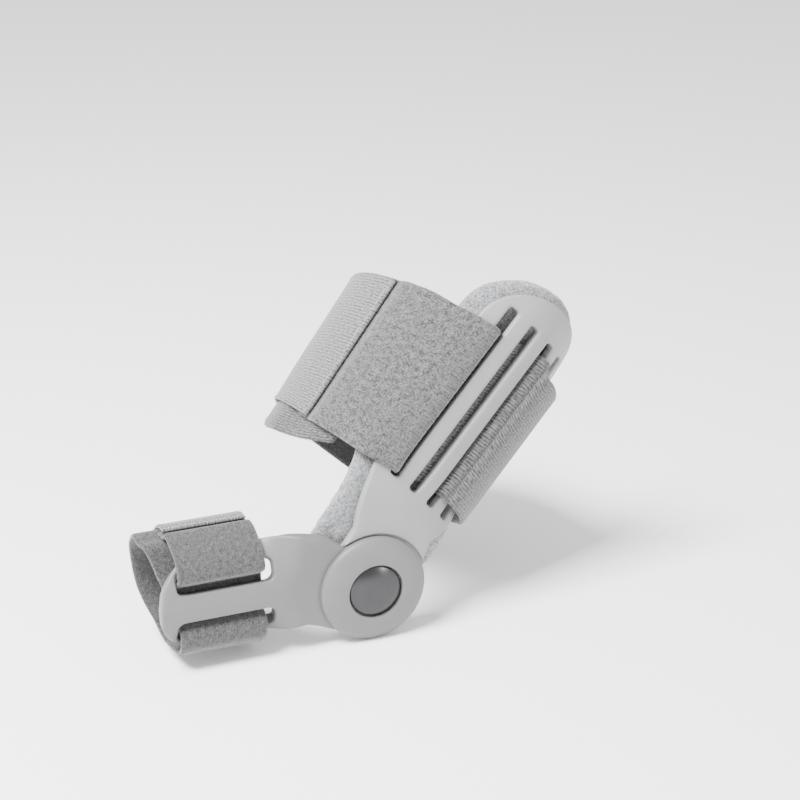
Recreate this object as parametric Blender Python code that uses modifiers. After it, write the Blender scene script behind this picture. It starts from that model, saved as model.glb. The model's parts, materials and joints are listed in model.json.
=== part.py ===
"""Hinged bunion splint: a slotted side plate and a slotted toe arm on one rivet, with two straps.

Metres, +Z up. The hinge axis is world Y through the origin. The toes point to -X, the heel
to +X, and the wearer's foot lies on the +Y side of the pad, so the outer faces look to -Y.
"""
import math

import bmesh
import bpy
import numpy as np
from mathutils import Matrix, Vector

MM = 0.001

# Clearance that every touching pair keeps
GAP = 0.3 * MM

# Pad, lying against the foot
PAD_THICKNESS = 4.0 * MM
PAD_RIM = 6.2 * MM
PAD_END_RIM = 3.6 * MM
PAD_ROUNDING = 1.2 * MM
PAD_NOSE_RADIUS = 19.0 * MM
PAD_NOSE_AHEAD = 5.0 * MM
PAD_TAPER_END = 30.0 * MM

# Side plate: distances along the plate start at the hinge axis
PLATE_LENGTH = 101.0 * MM
PLATE_HALF_WIDTH = 18.0 * MM
PLATE_OFFSET = 7.6 * MM
PLATE_THICKNESS = 2.8 * MM
PLATE_EDGE = 0.5 * MM
PLATE_SHOULDER = 28.0 * MM
PLATE_LIFT = math.radians(43.3)
PLATE_BEND = math.radians(9.5)
BEND_START = 16.0 * MM
BEND_LENGTH = 24.0 * MM
WRAP_RADIUS = 24.2 * MM
WRAP_CREST = 12.9 * MM
WRAP_LIMIT = math.radians(44.0)

# Four strap slots, counted from the instep side
SLOT_COUNT = 4
SLOT_WIDTH = 3.0 * MM
SLOT_PITCH = 7.35 * MM
SLOT_MIDDLE = 8.2 * MM
SLOT_START = 29.1 * MM
SLOT_END_RIM = 9.9 * MM
SLOT_LENGTH = PLATE_LENGTH - SLOT_START - SLOT_END_RIM

# Hinge: thin eye of the plate, disc of the toe arm and the rivet
EYE_RADIUS = 16.4 * MM
EYE_THICKNESS = 1.9 * MM
DISC_RADIUS = 16.7 * MM
DISC_THICKNESS = 4.4 * MM
DISC_DOME = 2.7 * MM
DISC_CLEARANCE = 0.9 * MM
SHAFT_RADIUS = 3.0 * MM
HEAD_RADIUS = 8.2 * MM
HEAD_RIM = 0.7 * MM
HEAD_CROWN = 1.5 * MM
HEAD_CLEARANCE = 0.45 * MM
RECESS_DEPTH = 1.9 * MM
TAIL_RADIUS = 4.6 * MM
TAIL_THICKNESS = 0.7 * MM

# Toe arm: distances along the arm start at the hinge axis and run to the toes
ARM_LENGTH = 65.9 * MM
ARM_THICKNESS = 4.0 * MM
ARM_EDGE = 0.6 * MM
ARM_CREST = 4.2 * MM
ARM_WRAP_RADIUS = 20.0 * MM
ARM_WRAP_START = 22.0 * MM
ARM_WRAP_LENGTH = 12.0 * MM
ARM_TOP = 18.6 * MM
ARM_BOTTOM = 15.0 * MM
ARM_POCKET_RADIUS = 21.4 * MM
ARM_SKIRT_RADIUS = 20.8 * MM
ARM_SKIRT_RISE = 0.7 * MM
ARM_BAR_HEIGHT = 9.1 * MM
ARM_SLOT_HEIGHT = 7.4 * MM
ARM_SLOT_START = 31.0 * MM
ARM_SLOT_LENGTH = 29.7 * MM
ARM_SLOT_ROUNDING = 2.3 * MM

# Straps
STRAP_THICKNESS = 1.6 * MM
TAB_THICKNESS = 1.2 * MM
FOOT_STRAP_WIDTH = 53.0 * MM
FOOT_STRAP_START = 30.0 * MM
FOOT_LOOP_HEIGHT = 31.5 * MM
FOOT_LOOP_DEPTH = 35.5 * MM
FOOT_LOOP_FLARE = 1.09
FOOT_LOOP_SQUARENESS = 2.15
FOOT_LOOP_FRONT = 8.8 * MM
FOOT_BULGE_NARROWING = 0.94
FOOT_TAB_INSET = 0.6 * MM
TOE_STRAP_WIDTH = 26.6 * MM
TOE_STRAP_START = 33.6 * MM
TOE_LOOP_HEIGHT = 19.4 * MM
TOE_LOOP_DEPTH = 15.0 * MM
TOE_LOOP_FRONT = 8.7 * MM
TOE_LOOP_RISE = 5.5 * MM
TOE_LOOP_TAPER = 0.16
TOE_TAB_INSET = 0.5 * MM

# Heights over the pad's inner face, worked out from the stack at the hinge
PLATE_BACK = PAD_THICKNESS + GAP
PLATE_FACE = PLATE_BACK + PLATE_THICKNESS
EYE_FACE = PLATE_BACK + EYE_THICKNESS
DISC_BACK = EYE_FACE + GAP
DISC_FACE = DISC_BACK + DISC_THICKNESS
ARM_BACK = PAD_THICKNESS + 0.4 * MM
ARM_FACE = ARM_BACK + ARM_THICKNESS
BORE_RADIUS = SHAFT_RADIUS + GAP
RECESS_RADIUS = HEAD_RADIUS + HEAD_CLEARANCE

# Levels of the strap layers, measured inwards from the outer face of a loop
LEVEL_OUTER = STRAP_THICKNESS / 2
LEVEL_TAB = TAB_THICKNESS / 2
LEVEL_LAP = TAB_THICKNESS + GAP + STRAP_THICKNESS / 2
LEVEL_UNDER_LAP = LEVEL_LAP + STRAP_THICKNESS + GAP
LEVEL_BEHIND_PLATE = PLATE_BACK - GAP - STRAP_THICKNESS / 2
LEVEL_OVER_PLATE = PLATE_FACE + GAP + STRAP_THICKNESS / 2

MATERIALS = {
    "plate_plastic": ((0.52, 0.52, 0.53), 0.52, 0.0),
    "arm_plastic": ((0.45, 0.45, 0.46), 0.52, 0.0),
    "rivet_metal": ((0.16, 0.16, 0.17), 0.32, 1.0),
    "pad_terry": ((0.55, 0.56, 0.57), 0.95, 0.0),
    "strap_loop_fabric": ((0.30, 0.31, 0.31), 0.95, 0.0),
    "toe_strap_fabric": ((0.27, 0.28, 0.28), 0.95, 0.0),
    "hook_tab_weave": ((0.38, 0.39, 0.40), 0.90, 0.0),
}


# Scene helpers

def clear_scene():
    for obj in list(bpy.data.objects):
        bpy.data.objects.remove(obj, do_unlink=True)


def new_collection(name):
    collection = bpy.data.collections.new(name)
    bpy.context.scene.collection.children.link(collection)
    return collection


def make_material(name):
    color, roughness, metallic = MATERIALS[name]
    material = bpy.data.materials.new(name)
    material.use_nodes = True
    shader = material.node_tree.nodes["Principled BSDF"]
    shader.inputs["Base Color"].default_value = (*color, 1.0)
    shader.inputs["Roughness"].default_value = roughness
    shader.inputs["Metallic"].default_value = metallic
    material.diffuse_color = (*color, 1.0)
    return material


def add_object(name, data, collection, material=None):
    obj = bpy.data.objects.new(name, data)
    collection.objects.link(obj)
    if material is not None:
        data.materials.append(material)
    return obj


def hide_guide(obj):
    obj.hide_render = True
    obj.display_type = "WIRE"


def evaluated_mesh(obj):
    """Plain mesh of an object as the viewport shows it, with doubled points merged."""
    graph = bpy.context.evaluated_depsgraph_get()
    mesh = bpy.data.meshes.new_from_object(obj.evaluated_get(graph))
    mesh.transform(obj.matrix_world)
    mesh_tool = bmesh.new()
    mesh_tool.from_mesh(mesh)
    bmesh.ops.remove_doubles(mesh_tool, verts=mesh_tool.verts, dist=1e-6)
    mesh_tool.to_mesh(mesh)
    mesh_tool.free()
    return mesh


def shade(mesh, angle=40.0):
    mesh.shade_smooth()
    mesh.set_sharp_from_angle(angle=math.radians(angle))


# Plane outlines

def arc(center, radius, start, end, steps):
    """Points of a circle's arc, both ends included; angles in degrees."""
    angles = np.radians(np.linspace(start, end, steps + 1))
    return [(center[0] + radius * math.cos(a), center[1] + radius * math.sin(a)) for a in angles]


def smooth_through(points, steps):
    """Points on a smooth open curve through the given ones, spaced by their chords."""
    pts = [np.array(p, float) for p in points]
    pts = [2 * pts[0] - pts[1]] + pts + [2 * pts[-1] - pts[-2]]
    out = []
    for a, b, c, d in zip(pts, pts[1:], pts[2:], pts[3:]):
        ab = math.sqrt(max(np.linalg.norm(b - a), 1e-9))
        bc = math.sqrt(max(np.linalg.norm(c - b), 1e-9))
        cd = math.sqrt(max(np.linalg.norm(d - c), 1e-9))
        into = (b - a) / ab - (c - a) / (ab + bc) + (c - b) / bc
        away = (c - b) / bc - (d - b) / (bc + cd) + (d - c) / cd
        for i in range(steps):
            x = i / steps
            h1 = 2 * x**3 - 3 * x**2 + 1
            h2 = x**3 - 2 * x**2 + x
            h3 = -2 * x**3 + 3 * x**2
            h4 = x**3 - x**2
            out.append(h1 * b + h2 * bc * into + h3 * c + h4 * bc * away)
    out.append(pts[-2])
    return out


def rounded_slot(start, end, low, high, radius, steps=3):
    """Outline of a long opening with rounded corners."""
    corners = ((end - radius, high - radius, 0), (start + radius, high - radius, 90),
               (start + radius, low + radius, 180), (end - radius, low + radius, 270))
    outline = []
    for x, y, turn in corners:
        outline += arc((x, y), radius, turn, turn + 90, steps)
    return outline


def flat_plate(outline, holes, thickness, edge, cuts_x, cuts_y, workshop):
    """Closed flat plate with holes, edges broken, sliced where it will be bent.

    The outline is worked in millimetres, where the mesh tools are exact enough.
    """
    curve = bpy.data.curves.new("outline", "CURVE")
    curve.dimensions = "2D"
    curve.fill_mode = "BOTH"
    curve.extrude = thickness / 2 / MM
    for ring in [outline] + holes:
        spline = curve.splines.new("POLY")
        spline.points.add(len(ring) - 1)
        spline.use_cyclic_u = True
        for point, place in zip(spline.points, ring):
            point.co = (place[0] / MM, place[1] / MM, 0.0, 1.0)
    guide = add_object("flat_outline", curve, workshop)
    mesh = evaluated_mesh(guide)
    bpy.data.objects.remove(guide, do_unlink=True)
    tool = bmesh.new()
    tool.from_mesh(mesh)
    bmesh.ops.remove_doubles(tool, verts=tool.verts, dist=0.002)
    bmesh.ops.dissolve_limit(tool, angle_limit=math.radians(1.0), verts=tool.verts, edges=tool.edges)
    bmesh.ops.recalc_face_normals(tool, faces=tool.faces)
    if edge > 0:
        rim = [e for e in tool.edges if e.calc_face_angle(0.0) > math.radians(60)]
        bmesh.ops.bevel(tool, geom=rim, offset=edge / MM, segments=1, affect="EDGES", profile=0.5)
    for cuts, normal in ((cuts_x, (1, 0, 0)), (cuts_y, (0, 1, 0))):
        for cut in cuts:
            place = Vector(normal) * (cut / MM)
            everything = tool.verts[:] + tool.edges[:] + tool.faces[:]
            bmesh.ops.bisect_plane(tool, geom=everything, plane_co=place, plane_no=normal, dist=0.005)
    bmesh.ops.remove_doubles(tool, verts=tool.verts, dist=0.01)
    bmesh.ops.triangulate(tool, faces=tool.faces)
    for vert in tool.verts:
        vert.co *= MM
        vert.co.z += thickness / 2
    tool.to_mesh(mesh)
    tool.free()
    return mesh


def bend_mesh(mesh, place):
    """Move each point of a flat mesh to place(x, y, z)."""
    tool = bmesh.new()
    tool.from_mesh(mesh)
    for vert in tool.verts:
        vert.co = place(*vert.co)
    bmesh.ops.recalc_face_normals(tool, faces=tool.faces)
    tool.to_mesh(mesh)
    tool.free()


# Curved surface that the plate and the pad follow

def ease(x):
    x = min(max(x, 0.0), 1.0)
    return x * x * (3 - 2 * x)


def splint_frame(along):
    """Point on the hinge line's continuation, with the directions along it and out of it."""
    axis = Vector((math.cos(PLATE_LIFT), 0.0, math.sin(PLATE_LIFT)))
    inward = Vector((0.0, 1.0, 0.0))
    bent = min(max((along - BEND_START) / BEND_LENGTH, 0.0), 1.0)
    angle = PLATE_BEND * bent
    radius = BEND_LENGTH / PLATE_BEND
    past = max(along - BEND_START - BEND_LENGTH, 0.0)
    forward = min(along, BEND_START) + radius * math.sin(angle) + past * math.cos(angle)
    depth = radius * (1 - math.cos(angle)) + past * math.sin(angle)
    direction = axis * math.cos(angle) + inward * math.sin(angle)
    outward = axis * math.sin(angle) - inward * math.cos(angle)
    return axis * forward + inward * depth, direction, outward


def splint_side():
    return Vector((-math.sin(PLATE_LIFT), 0.0, math.cos(PLATE_LIFT)))


def splint_point(along, across, height):
    """Place over the pad's inner face: along the plate, across it to the instep, outwards."""
    base, _, outward = splint_frame(along)
    side = splint_side()
    curvature = ease((along - BEND_START) / BEND_LENGTH) / WRAP_RADIUS
    arc_length = across - WRAP_CREST
    if curvature < 1e-3:
        return base + side * across + outward * height
    limit = WRAP_LIMIT / curvature
    turned = min(max(arc_length, -limit), limit)
    angle = curvature * turned
    rest = arc_length - turned
    sideways = math.sin(angle) / curvature + rest * math.cos(angle)
    inwards = (1 - math.cos(angle)) / curvature + rest * math.sin(angle)
    normal = outward * math.cos(angle) + side * math.sin(angle)
    return base + side * (WRAP_CREST + sideways) - outward * inwards + normal * height


def slot_place(index):
    """Distance of a slot's middle line from the hinge line, slot 0 at the instep side."""
    return SLOT_MIDDLE + SLOT_PITCH * ((SLOT_COUNT - 1) / 2 - index)


def bend_cuts():
    return list(np.linspace(BEND_START, BEND_START + BEND_LENGTH, 8))


def plate_outline():
    high = PLATE_OFFSET + PLATE_HALF_WIDTH
    low = PLATE_OFFSET - PLATE_HALF_WIDTH
    end = (PLATE_LENGTH - PLATE_HALF_WIDTH, PLATE_OFFSET)
    shoulder = 1.11 * EYE_RADIUS
    outline = arc(end, PLATE_HALF_WIDTH, -90, 90, 20)
    instep_side = [(PLATE_SHOULDER, high), (0.72 * PLATE_SHOULDER, high - 0.08 * PLATE_HALF_WIDTH),
                   (0.52 * PLATE_SHOULDER, high - 0.23 * PLATE_HALF_WIDTH),
                   (0.61 * EYE_RADIUS, shoulder)]
    outline += smooth_through(instep_side, 3)
    outline += arc((0, 0), EYE_RADIUS, 112, 330, 30)
    sole_side = [(1.30 * EYE_RADIUS, 0.50 * low), (1.75 * EYE_RADIUS, 0.72 * low),
                 (2.25 * EYE_RADIUS, 0.95 * low), (2.9 * EYE_RADIUS, low)]
    outline += smooth_through(sole_side, 3)
    return outline


def build_plate(collection, workshop, material):
    half = SLOT_WIDTH / 2
    slots = []
    for index in range(SLOT_COUNT):
        middle = slot_place(index)
        slots.append(rounded_slot(SLOT_START, SLOT_START + SLOT_LENGTH,
                                  middle - half, middle + half, 0.45 * half, 1))
    across = [PLATE_OFFSET + PLATE_HALF_WIDTH * x for x in (-0.8, -0.45, -0.1, 0.2, 0.5, 0.8)]
    across += [slot_place(i) + side * half for i in range(SLOT_COUNT) for side in (-1, 1)]
    mesh = flat_plate(plate_outline(), slots, PLATE_THICKNESS, PLATE_EDGE,
                      bend_cuts(), across, workshop)
    bend_mesh(mesh, lambda x, y, z: splint_point(x, y, PLATE_BACK + z))
    plate = add_object("splint_plate", mesh, collection, material)
    seat = turned_cutter("disc_seat", DISC_RADIUS + DISC_CLEARANCE, EYE_FACE, DISC_FACE, workshop)
    bore = turned_cutter("plate_bore", BORE_RADIUS, 0.0, DISC_FACE, workshop)
    tail = turned_cutter("tail_seat", TAIL_RADIUS + GAP, 0.0,
                         PLATE_BACK + TAIL_THICKNESS + 2 * GAP, workshop)
    for cutter in (seat, bore, tail):
        cut_away(plate, cutter)
    shade(plate.data)
    return plate


def turned_cutter(name, radius, low, high, workshop, sides=64):
    """Cylinder on the hinge axis between two heights over the pad's inner face."""
    bpy.ops.mesh.primitive_cylinder_add(vertices=sides, radius=radius, depth=high - low,
                                        location=(0, -(high + low) / 2, 0),
                                        rotation=(math.pi / 2, 0, 0))
    cutter = bpy.context.object
    cutter.name = name
    for collection in list(cutter.users_collection):
        collection.objects.unlink(cutter)
    workshop.objects.link(cutter)
    hide_guide(cutter)
    return cutter


def boolean(target, other, operation):
    modifier = target.modifiers.new(other.name, "BOOLEAN")
    modifier.operation = operation
    modifier.object = other
    modifier.solver = "EXACT"


def cut_away(target, cutter):
    boolean(target, cutter, "DIFFERENCE")


# Pad

def pad_outline():
    half = PLATE_HALF_WIDTH + PAD_RIM
    end = (PLATE_LENGTH - PLATE_HALF_WIDTH, PLATE_OFFSET)
    nose = (PAD_NOSE_AHEAD, PLATE_OFFSET)
    reach = (PLATE_HALF_WIDTH + PAD_END_RIM) / half
    outline = [(end[0] + (x - end[0]) * reach, y) for x, y in arc(end, half, -90, 90, 22)]
    outline += [(PAD_TAPER_END, PLATE_OFFSET + half)]
    outline += arc(nose, PAD_NOSE_RADIUS, 99, 261, 22)
    outline += [(0.7 * PAD_TAPER_END, PLATE_OFFSET - 1.03 * PAD_NOSE_RADIUS),
                (1.15 * PAD_TAPER_END, PLATE_OFFSET - half)]
    return outline


def build_pad(collection, workshop, material):
    """Foam pad, pressed thinner where the strap runs behind the plate's bars."""
    rim = 2.4 * MM
    low = slot_place(2) - SLOT_WIDTH
    high = slot_place(0) + SLOT_WIDTH
    start = SLOT_START - rim
    end = SLOT_START + SLOT_LENGTH
    pressed = STRAP_THICKNESS + GAP
    along = bend_cuts() + [start, start + rim, end - rim, end]
    middle = list(np.linspace(low + rim, high - rim, 4))
    across = [PLATE_OFFSET + PLATE_HALF_WIDTH * x for x in (-1.1, -0.7, 1.1)]
    across += [low] + middle + [high]
    mesh = flat_plate(pad_outline(), [], PAD_THICKNESS, PAD_ROUNDING, along, across, workshop)

    def place(x, y, z):
        inside_along = min((x - start) / rim, (end - x) / rim)
        inside_across = min((y - low) / rim, (high - y) / rim)
        press = pressed * ease(min(inside_along, inside_across))
        return splint_point(x, y, z - press * z / PAD_THICKNESS)

    bend_mesh(mesh, place)
    pad = add_object("pad", mesh, collection, material)
    shade(pad.data)
    return pad


# Turned pieces on the hinge axis

def turned(name, profile, collection, material=None, steps=48):
    """Solid turned round the hinge axis; profile rows are radius and height over the pad."""
    mesh = bpy.data.meshes.new(name)
    points = [(radius, 0.0, height) for radius, height in profile]
    closed = profile[0][0] > 0
    count = len(points)
    edges = [(i, i + 1) for i in range(count - 1)]
    if closed:
        edges.append((count - 1, 0))
    mesh.from_pydata(points, edges, [])
    obj = add_object(name, mesh, collection, material)
    screw = obj.modifiers.new("turn", "SCREW")
    screw.steps = steps
    screw.render_steps = steps
    screw.use_merge_vertices = True
    screw.merge_threshold = 1e-6
    screw.use_smooth_shade = True
    obj.rotation_euler = (math.pi / 2, 0, 0)
    bpy.context.view_layer.update()
    return obj


def build_rivet(collection, material):
    """Domed head in the disc's recess, shaft through the disc and eye, and a flat tail."""
    floor = DISC_FACE - RECESS_DEPTH + GAP
    rim_top = floor + HEAD_RIM
    dome_radius = (HEAD_RADIUS**2 + HEAD_CROWN**2) / (2 * HEAD_CROWN)
    half_angle = math.asin(HEAD_RADIUS / dome_radius)
    profile = []
    for angle in np.linspace(0.0, half_angle, 7):
        profile.append((dome_radius * math.sin(angle),
                        rim_top + HEAD_CROWN - dome_radius * (1 - math.cos(angle))))
    tail_top = PLATE_BACK + GAP + TAIL_THICKNESS
    profile += [(HEAD_RADIUS, floor), (SHAFT_RADIUS, floor), (SHAFT_RADIUS, tail_top),
                (TAIL_RADIUS, tail_top), (TAIL_RADIUS, PLATE_BACK + GAP), (0.0, PLATE_BACK + GAP)]
    rivet = turned("hinge_rivet", profile, collection, material, 40)
    return rivet


# Toe arm

def arm_point(along, across, height):
    """Place over the arm's back face: towards the toes, up, and outwards."""
    curvature = ease((along - ARM_WRAP_START) / ARM_WRAP_LENGTH) / ARM_WRAP_RADIUS
    arc_length = across - ARM_CREST
    if curvature < 1e-3:
        return Vector((-along, -(ARM_BACK + height), across))
    radius = 1 / curvature
    angle = curvature * arc_length
    reach = radius - ARM_THICKNESS + height
    depth = ARM_FACE - radius + reach * math.cos(angle)
    return Vector((-along, -depth, ARM_CREST + reach * math.sin(angle)))


# Arm outline: share of the arm's length, share of its reach above or below the crest line
ARM_UPPER_EDGE = (
    (0.105, 0.480), (0.182, 0.700), (0.237, 0.805), (0.293, 0.870), (0.350, 0.915),
    (0.486, 0.965), (0.683, 0.965), (0.810, 0.900), (0.886, 0.800), (0.939, 0.625),
    (0.983, 0.350), (1.000, 0.000),
)
ARM_LOWER_EDGE = (
    (1.000, 0.000), (0.990, 0.430), (0.950, 0.760), (0.880, 0.950), (0.760, 1.030),
    (0.600, 1.050), (0.486, 0.990), (0.334, 0.850), (0.267, 0.930), (0.190, 1.080),
    (0.140, 1.130),
)


def arm_outline():
    upper = [(ARM_LENGTH * x, ARM_CREST + ARM_TOP * y) for x, y in ARM_UPPER_EDGE]
    lower = [(ARM_LENGTH * x, ARM_CREST - ARM_BOTTOM * y) for x, y in ARM_LOWER_EDGE]
    inner = arc((0, 0), 0.838 * DISC_RADIUS, -58, 62, 12)
    outline = smooth_through(upper, 3)[:-1] + smooth_through(lower, 3)
    return outline + inner


def arm_slots():
    """Lower and upper limit of the two openings, above and below the bar."""
    half = ARM_BAR_HEIGHT / 2
    upper = (ARM_CREST + half, ARM_CREST + half + ARM_SLOT_HEIGHT)
    lower = (ARM_CREST - half - ARM_SLOT_HEIGHT, ARM_CREST - half)
    return upper, lower


def build_toe_arm(collection, workshop, material):
    slots = [rounded_slot(ARM_SLOT_START, ARM_SLOT_START + ARM_SLOT_LENGTH, low, high,
                          ARM_SLOT_ROUNDING) for low, high in arm_slots()]
    wrap_end = ARM_WRAP_START + ARM_WRAP_LENGTH
    along = list(np.linspace(ARM_WRAP_START, wrap_end, 6))
    half = ARM_BAR_HEIGHT / 2
    offsets = [0.55 * half, half + 0.33 * ARM_SLOT_HEIGHT, half + 0.67 * ARM_SLOT_HEIGHT, 3 * half]
    across = [ARM_CREST, ARM_CREST + 3.5 * half]
    across += [ARM_CREST + side * offset for offset in offsets for side in (-1, 1)]
    mesh = flat_plate(arm_outline(), slots, ARM_THICKNESS, ARM_EDGE, along, across, workshop)
    bend_mesh(mesh, arm_point)
    arm = add_object("toe_arm", mesh, collection, material)
    pocket = turned_cutter("plate_pocket", ARM_POCKET_RADIUS, 0.0, DISC_BACK + 0.1 * MM, workshop)
    cut_away(arm, pocket)
    boolean(arm, arm_skirt(workshop), "UNION")
    boolean(arm, arm_disc(workshop), "UNION")
    weld = arm.modifiers.new("close_points", "WELD")
    weld.merge_threshold = 0.008 * MM
    return arm


def arm_disc(workshop):
    """Round end of the arm, with the rivet's recess and bore."""
    floor = DISC_FACE - RECESS_DEPTH
    brink = RECESS_RADIUS + 0.3 * MM
    profile = [(BORE_RADIUS, floor), (RECESS_RADIUS, floor), (RECESS_RADIUS, DISC_FACE - 0.3 * MM)]
    for angle in np.linspace(0.0, math.pi / 2, 9):
        profile.append((brink + (DISC_RADIUS - brink) * math.sin(angle),
                        DISC_FACE - DISC_DOME * (1 - math.cos(angle))))
    profile += [(DISC_RADIUS, DISC_BACK), (BORE_RADIUS, DISC_BACK)]
    disc = turned("arm_disc", profile, workshop, None, 64)
    hide_guide(disc)
    return disc


def arm_skirt(workshop):
    """Hollow fillet from the disc's rim down to the arm's face, kept inside the arm's outline."""
    inner = 0.825 * DISC_RADIUS
    sunk = 0.2 * MM
    profile = [(inner, DISC_BACK + sunk), (inner, ARM_FACE + 0.8 * ARM_SKIRT_RISE)]
    for share in np.linspace(0.0, 1.0, 5):
        radius = DISC_RADIUS + (ARM_SKIRT_RADIUS - DISC_RADIUS) * share
        profile.append((radius, ARM_FACE - sunk + (ARM_SKIRT_RISE + sunk) * (1 - share) ** 2))
    profile.append((ARM_SKIRT_RADIUS, DISC_BACK + sunk))
    ring = turned("skirt_ring", profile, workshop, None, 54)
    inset = [(x, ARM_CREST + (y - ARM_CREST) * 0.965) for x, y in arm_outline()]
    prism = flat_plate(inset, [], 2 * DISC_FACE, 0.0, [], [], workshop)
    bend_mesh(prism, lambda x, y, z: Vector((-x, -z, y)))
    keeper = add_object("skirt_keeper", prism, workshop)
    hide_guide(keeper)
    boolean(ring, keeper, "INTERSECT")
    skirt = add_object("arm_skirt", evaluated_mesh(ring), workshop)
    bpy.data.objects.remove(ring, do_unlink=True)
    hide_guide(skirt)
    return skirt


# Straps: each row of a route is a place on a loop, on the plate or on the arm, with the
# strap's shift along the splint there, as a share of its width. Angles start at the front
# and turn over the top.

def foot_section(along):
    """Frame of the foot loop at a distance along the plate, on the crest line."""
    _, _, outward = splint_frame(along)
    return splint_point(along, WRAP_CREST, 0.0), splint_side(), outward


def foot_loop(along, angle, level):
    """Point of the foot loop, which widens from its toe edge to its heel edge."""
    flare = 1 + (FOOT_LOOP_FLARE - 1) * (along - FOOT_STRAP_START) / FOOT_STRAP_WIDTH
    height = FOOT_LOOP_HEIGHT * flare - level
    depth = FOOT_LOOP_DEPTH * flare - level
    middle = FOOT_LOOP_DEPTH * flare - FOOT_LOOP_FRONT
    turn = math.radians(angle)
    power = 2 / FOOT_LOOP_SQUARENESS
    sine = math.copysign(abs(math.sin(turn)) ** power, math.sin(turn))
    cosine = math.copysign(abs(math.cos(turn)) ** power, math.cos(turn))
    origin, side, outward = foot_section(along)
    return origin + side * (height * sine) - outward * (middle - depth * cosine)


def foot_free(along, sideways, inwards):
    """Point of the foot loop where it bulges clear of the plate's sole edge."""
    origin, side, outward = foot_section(along)
    return origin + side * sideways - outward * inwards


def foot_route():
    """Rows of kind, first value, second value and shift; the toe edge starts the count."""
    first = slot_place(0)
    third = slot_place(2)
    behind = LEVEL_BEHIND_PLATE
    over = LEVEL_OVER_PLATE
    step = 1.1 * STRAP_THICKNESS
    reach = FOOT_LOOP_HEIGHT
    return (
        ("loop", 54, LEVEL_UNDER_LAP, -0.094), ("loop", 70, LEVEL_UNDER_LAP, -0.179),
        ("loop", 86, LEVEL_UNDER_LAP, -0.245), ("loop", 98, LEVEL_LAP, -0.292),
        ("loop", 112, LEVEL_LAP, -0.311), ("loop", 130, LEVEL_LAP, -0.283),
        ("loop", 150, LEVEL_LAP, -0.236), ("loop", 180, LEVEL_LAP, -0.189),
        ("loop", 210, LEVEL_LAP, -0.151), ("loop", 235, LEVEL_LAP, -0.109),
        ("loop", 258, LEVEL_LAP, -0.057),
        ("free", -0.960 * reach, 0.560 * reach, 0.0), ("free", -0.990 * reach, 0.290 * reach, 0.028),
        ("free", -0.920 * reach, 0.110 * reach, 0.042), ("free", -0.790 * reach, -0.035 * reach, 0.053),
        ("free", -0.640 * reach, -0.145 * reach, 0.060), ("free", -0.480 * reach, -0.215 * reach, 0.066),
        ("plate", third - 1.3 * step, over + 0.15 * step, 0.068),
        ("plate", third - 0.2 * step, over - 0.35 * step, 0.068),
        ("plate", third, (PLATE_BACK + PLATE_FACE) / 2, 0.066),
        ("plate", third + 0.2 * step, behind + 0.45 * step, 0.064),
        ("plate", third + 1.2 * step, behind, 0.060), ("plate", third + 3.0 * step, behind, 0.049),
        ("plate", (first + third) / 2, behind, 0.034), ("plate", first - 3.0 * step, behind, 0.019),
        ("plate", first - 1.2 * step, behind, 0.008),
        ("plate", first - 0.2 * step, behind + 0.45 * step, 0.004),
        ("plate", first, (PLATE_BACK + PLATE_FACE) / 2, 0.0),
        ("plate", first + 0.2 * step, over - 0.4 * step, -0.002),
        ("plate", first + 1.1 * step, over + 0.1 * step, -0.004),
        ("plate", first + 2.6 * step, over, -0.011), ("plate", first + 4.3 * step, over, -0.023),
        ("plate", first + 6.2 * step, over - 0.3 * step, -0.038),
        ("loop", 54, LEVEL_OUTER, -0.053), ("loop", 64, LEVEL_OUTER, -0.068),
        ("loop", 70, LEVEL_OUTER, -0.075), ("loop", 75.5, LEVEL_LAP, -0.081),
        ("loop", 80, LEVEL_LAP, -0.085), ("loop", 86, LEVEL_LAP, -0.091),
    )


def foot_tab_route():
    rows = [("loop", 77, LEVEL_TAB, -0.083), ("loop", 82, LEVEL_TAB, -0.087),
            ("loop", 88, LEVEL_TAB, -0.093)]
    rows += [("loop", angle, LEVEL_TAB, -0.102 - 0.00094 * (angle - 98))
             for angle in (98, 110, 122, 134, 146, 158)]
    return tuple(rows)


def foot_point(row, share, width, start):
    kind, first, second, shift = row
    if kind == "free":
        width *= FOOT_BULGE_NARROWING
    along = start + width * (share + shift)
    if kind == "loop":
        return foot_loop(along, first, second)
    if kind == "free":
        return foot_free(along, first, second)
    return splint_point(along, first, second)


def toe_loop(along, angle, level):
    turn = math.radians(angle)
    height = TOE_LOOP_HEIGHT - level
    depth = TOE_LOOP_DEPTH - level
    middle = TOE_LOOP_DEPTH - TOE_LOOP_FRONT
    rise = height * math.sin(turn)
    if rise < 0:
        rise *= toe_taper(along)
    return Vector((-along, middle - depth * math.cos(turn), TOE_LOOP_RISE + rise))


def toe_taper(along):
    """Share of its height that the loop keeps under the toe, less towards the tip."""
    return 1 - TOE_LOOP_TAPER * (along - TOE_STRAP_START) / TOE_STRAP_WIDTH


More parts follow.
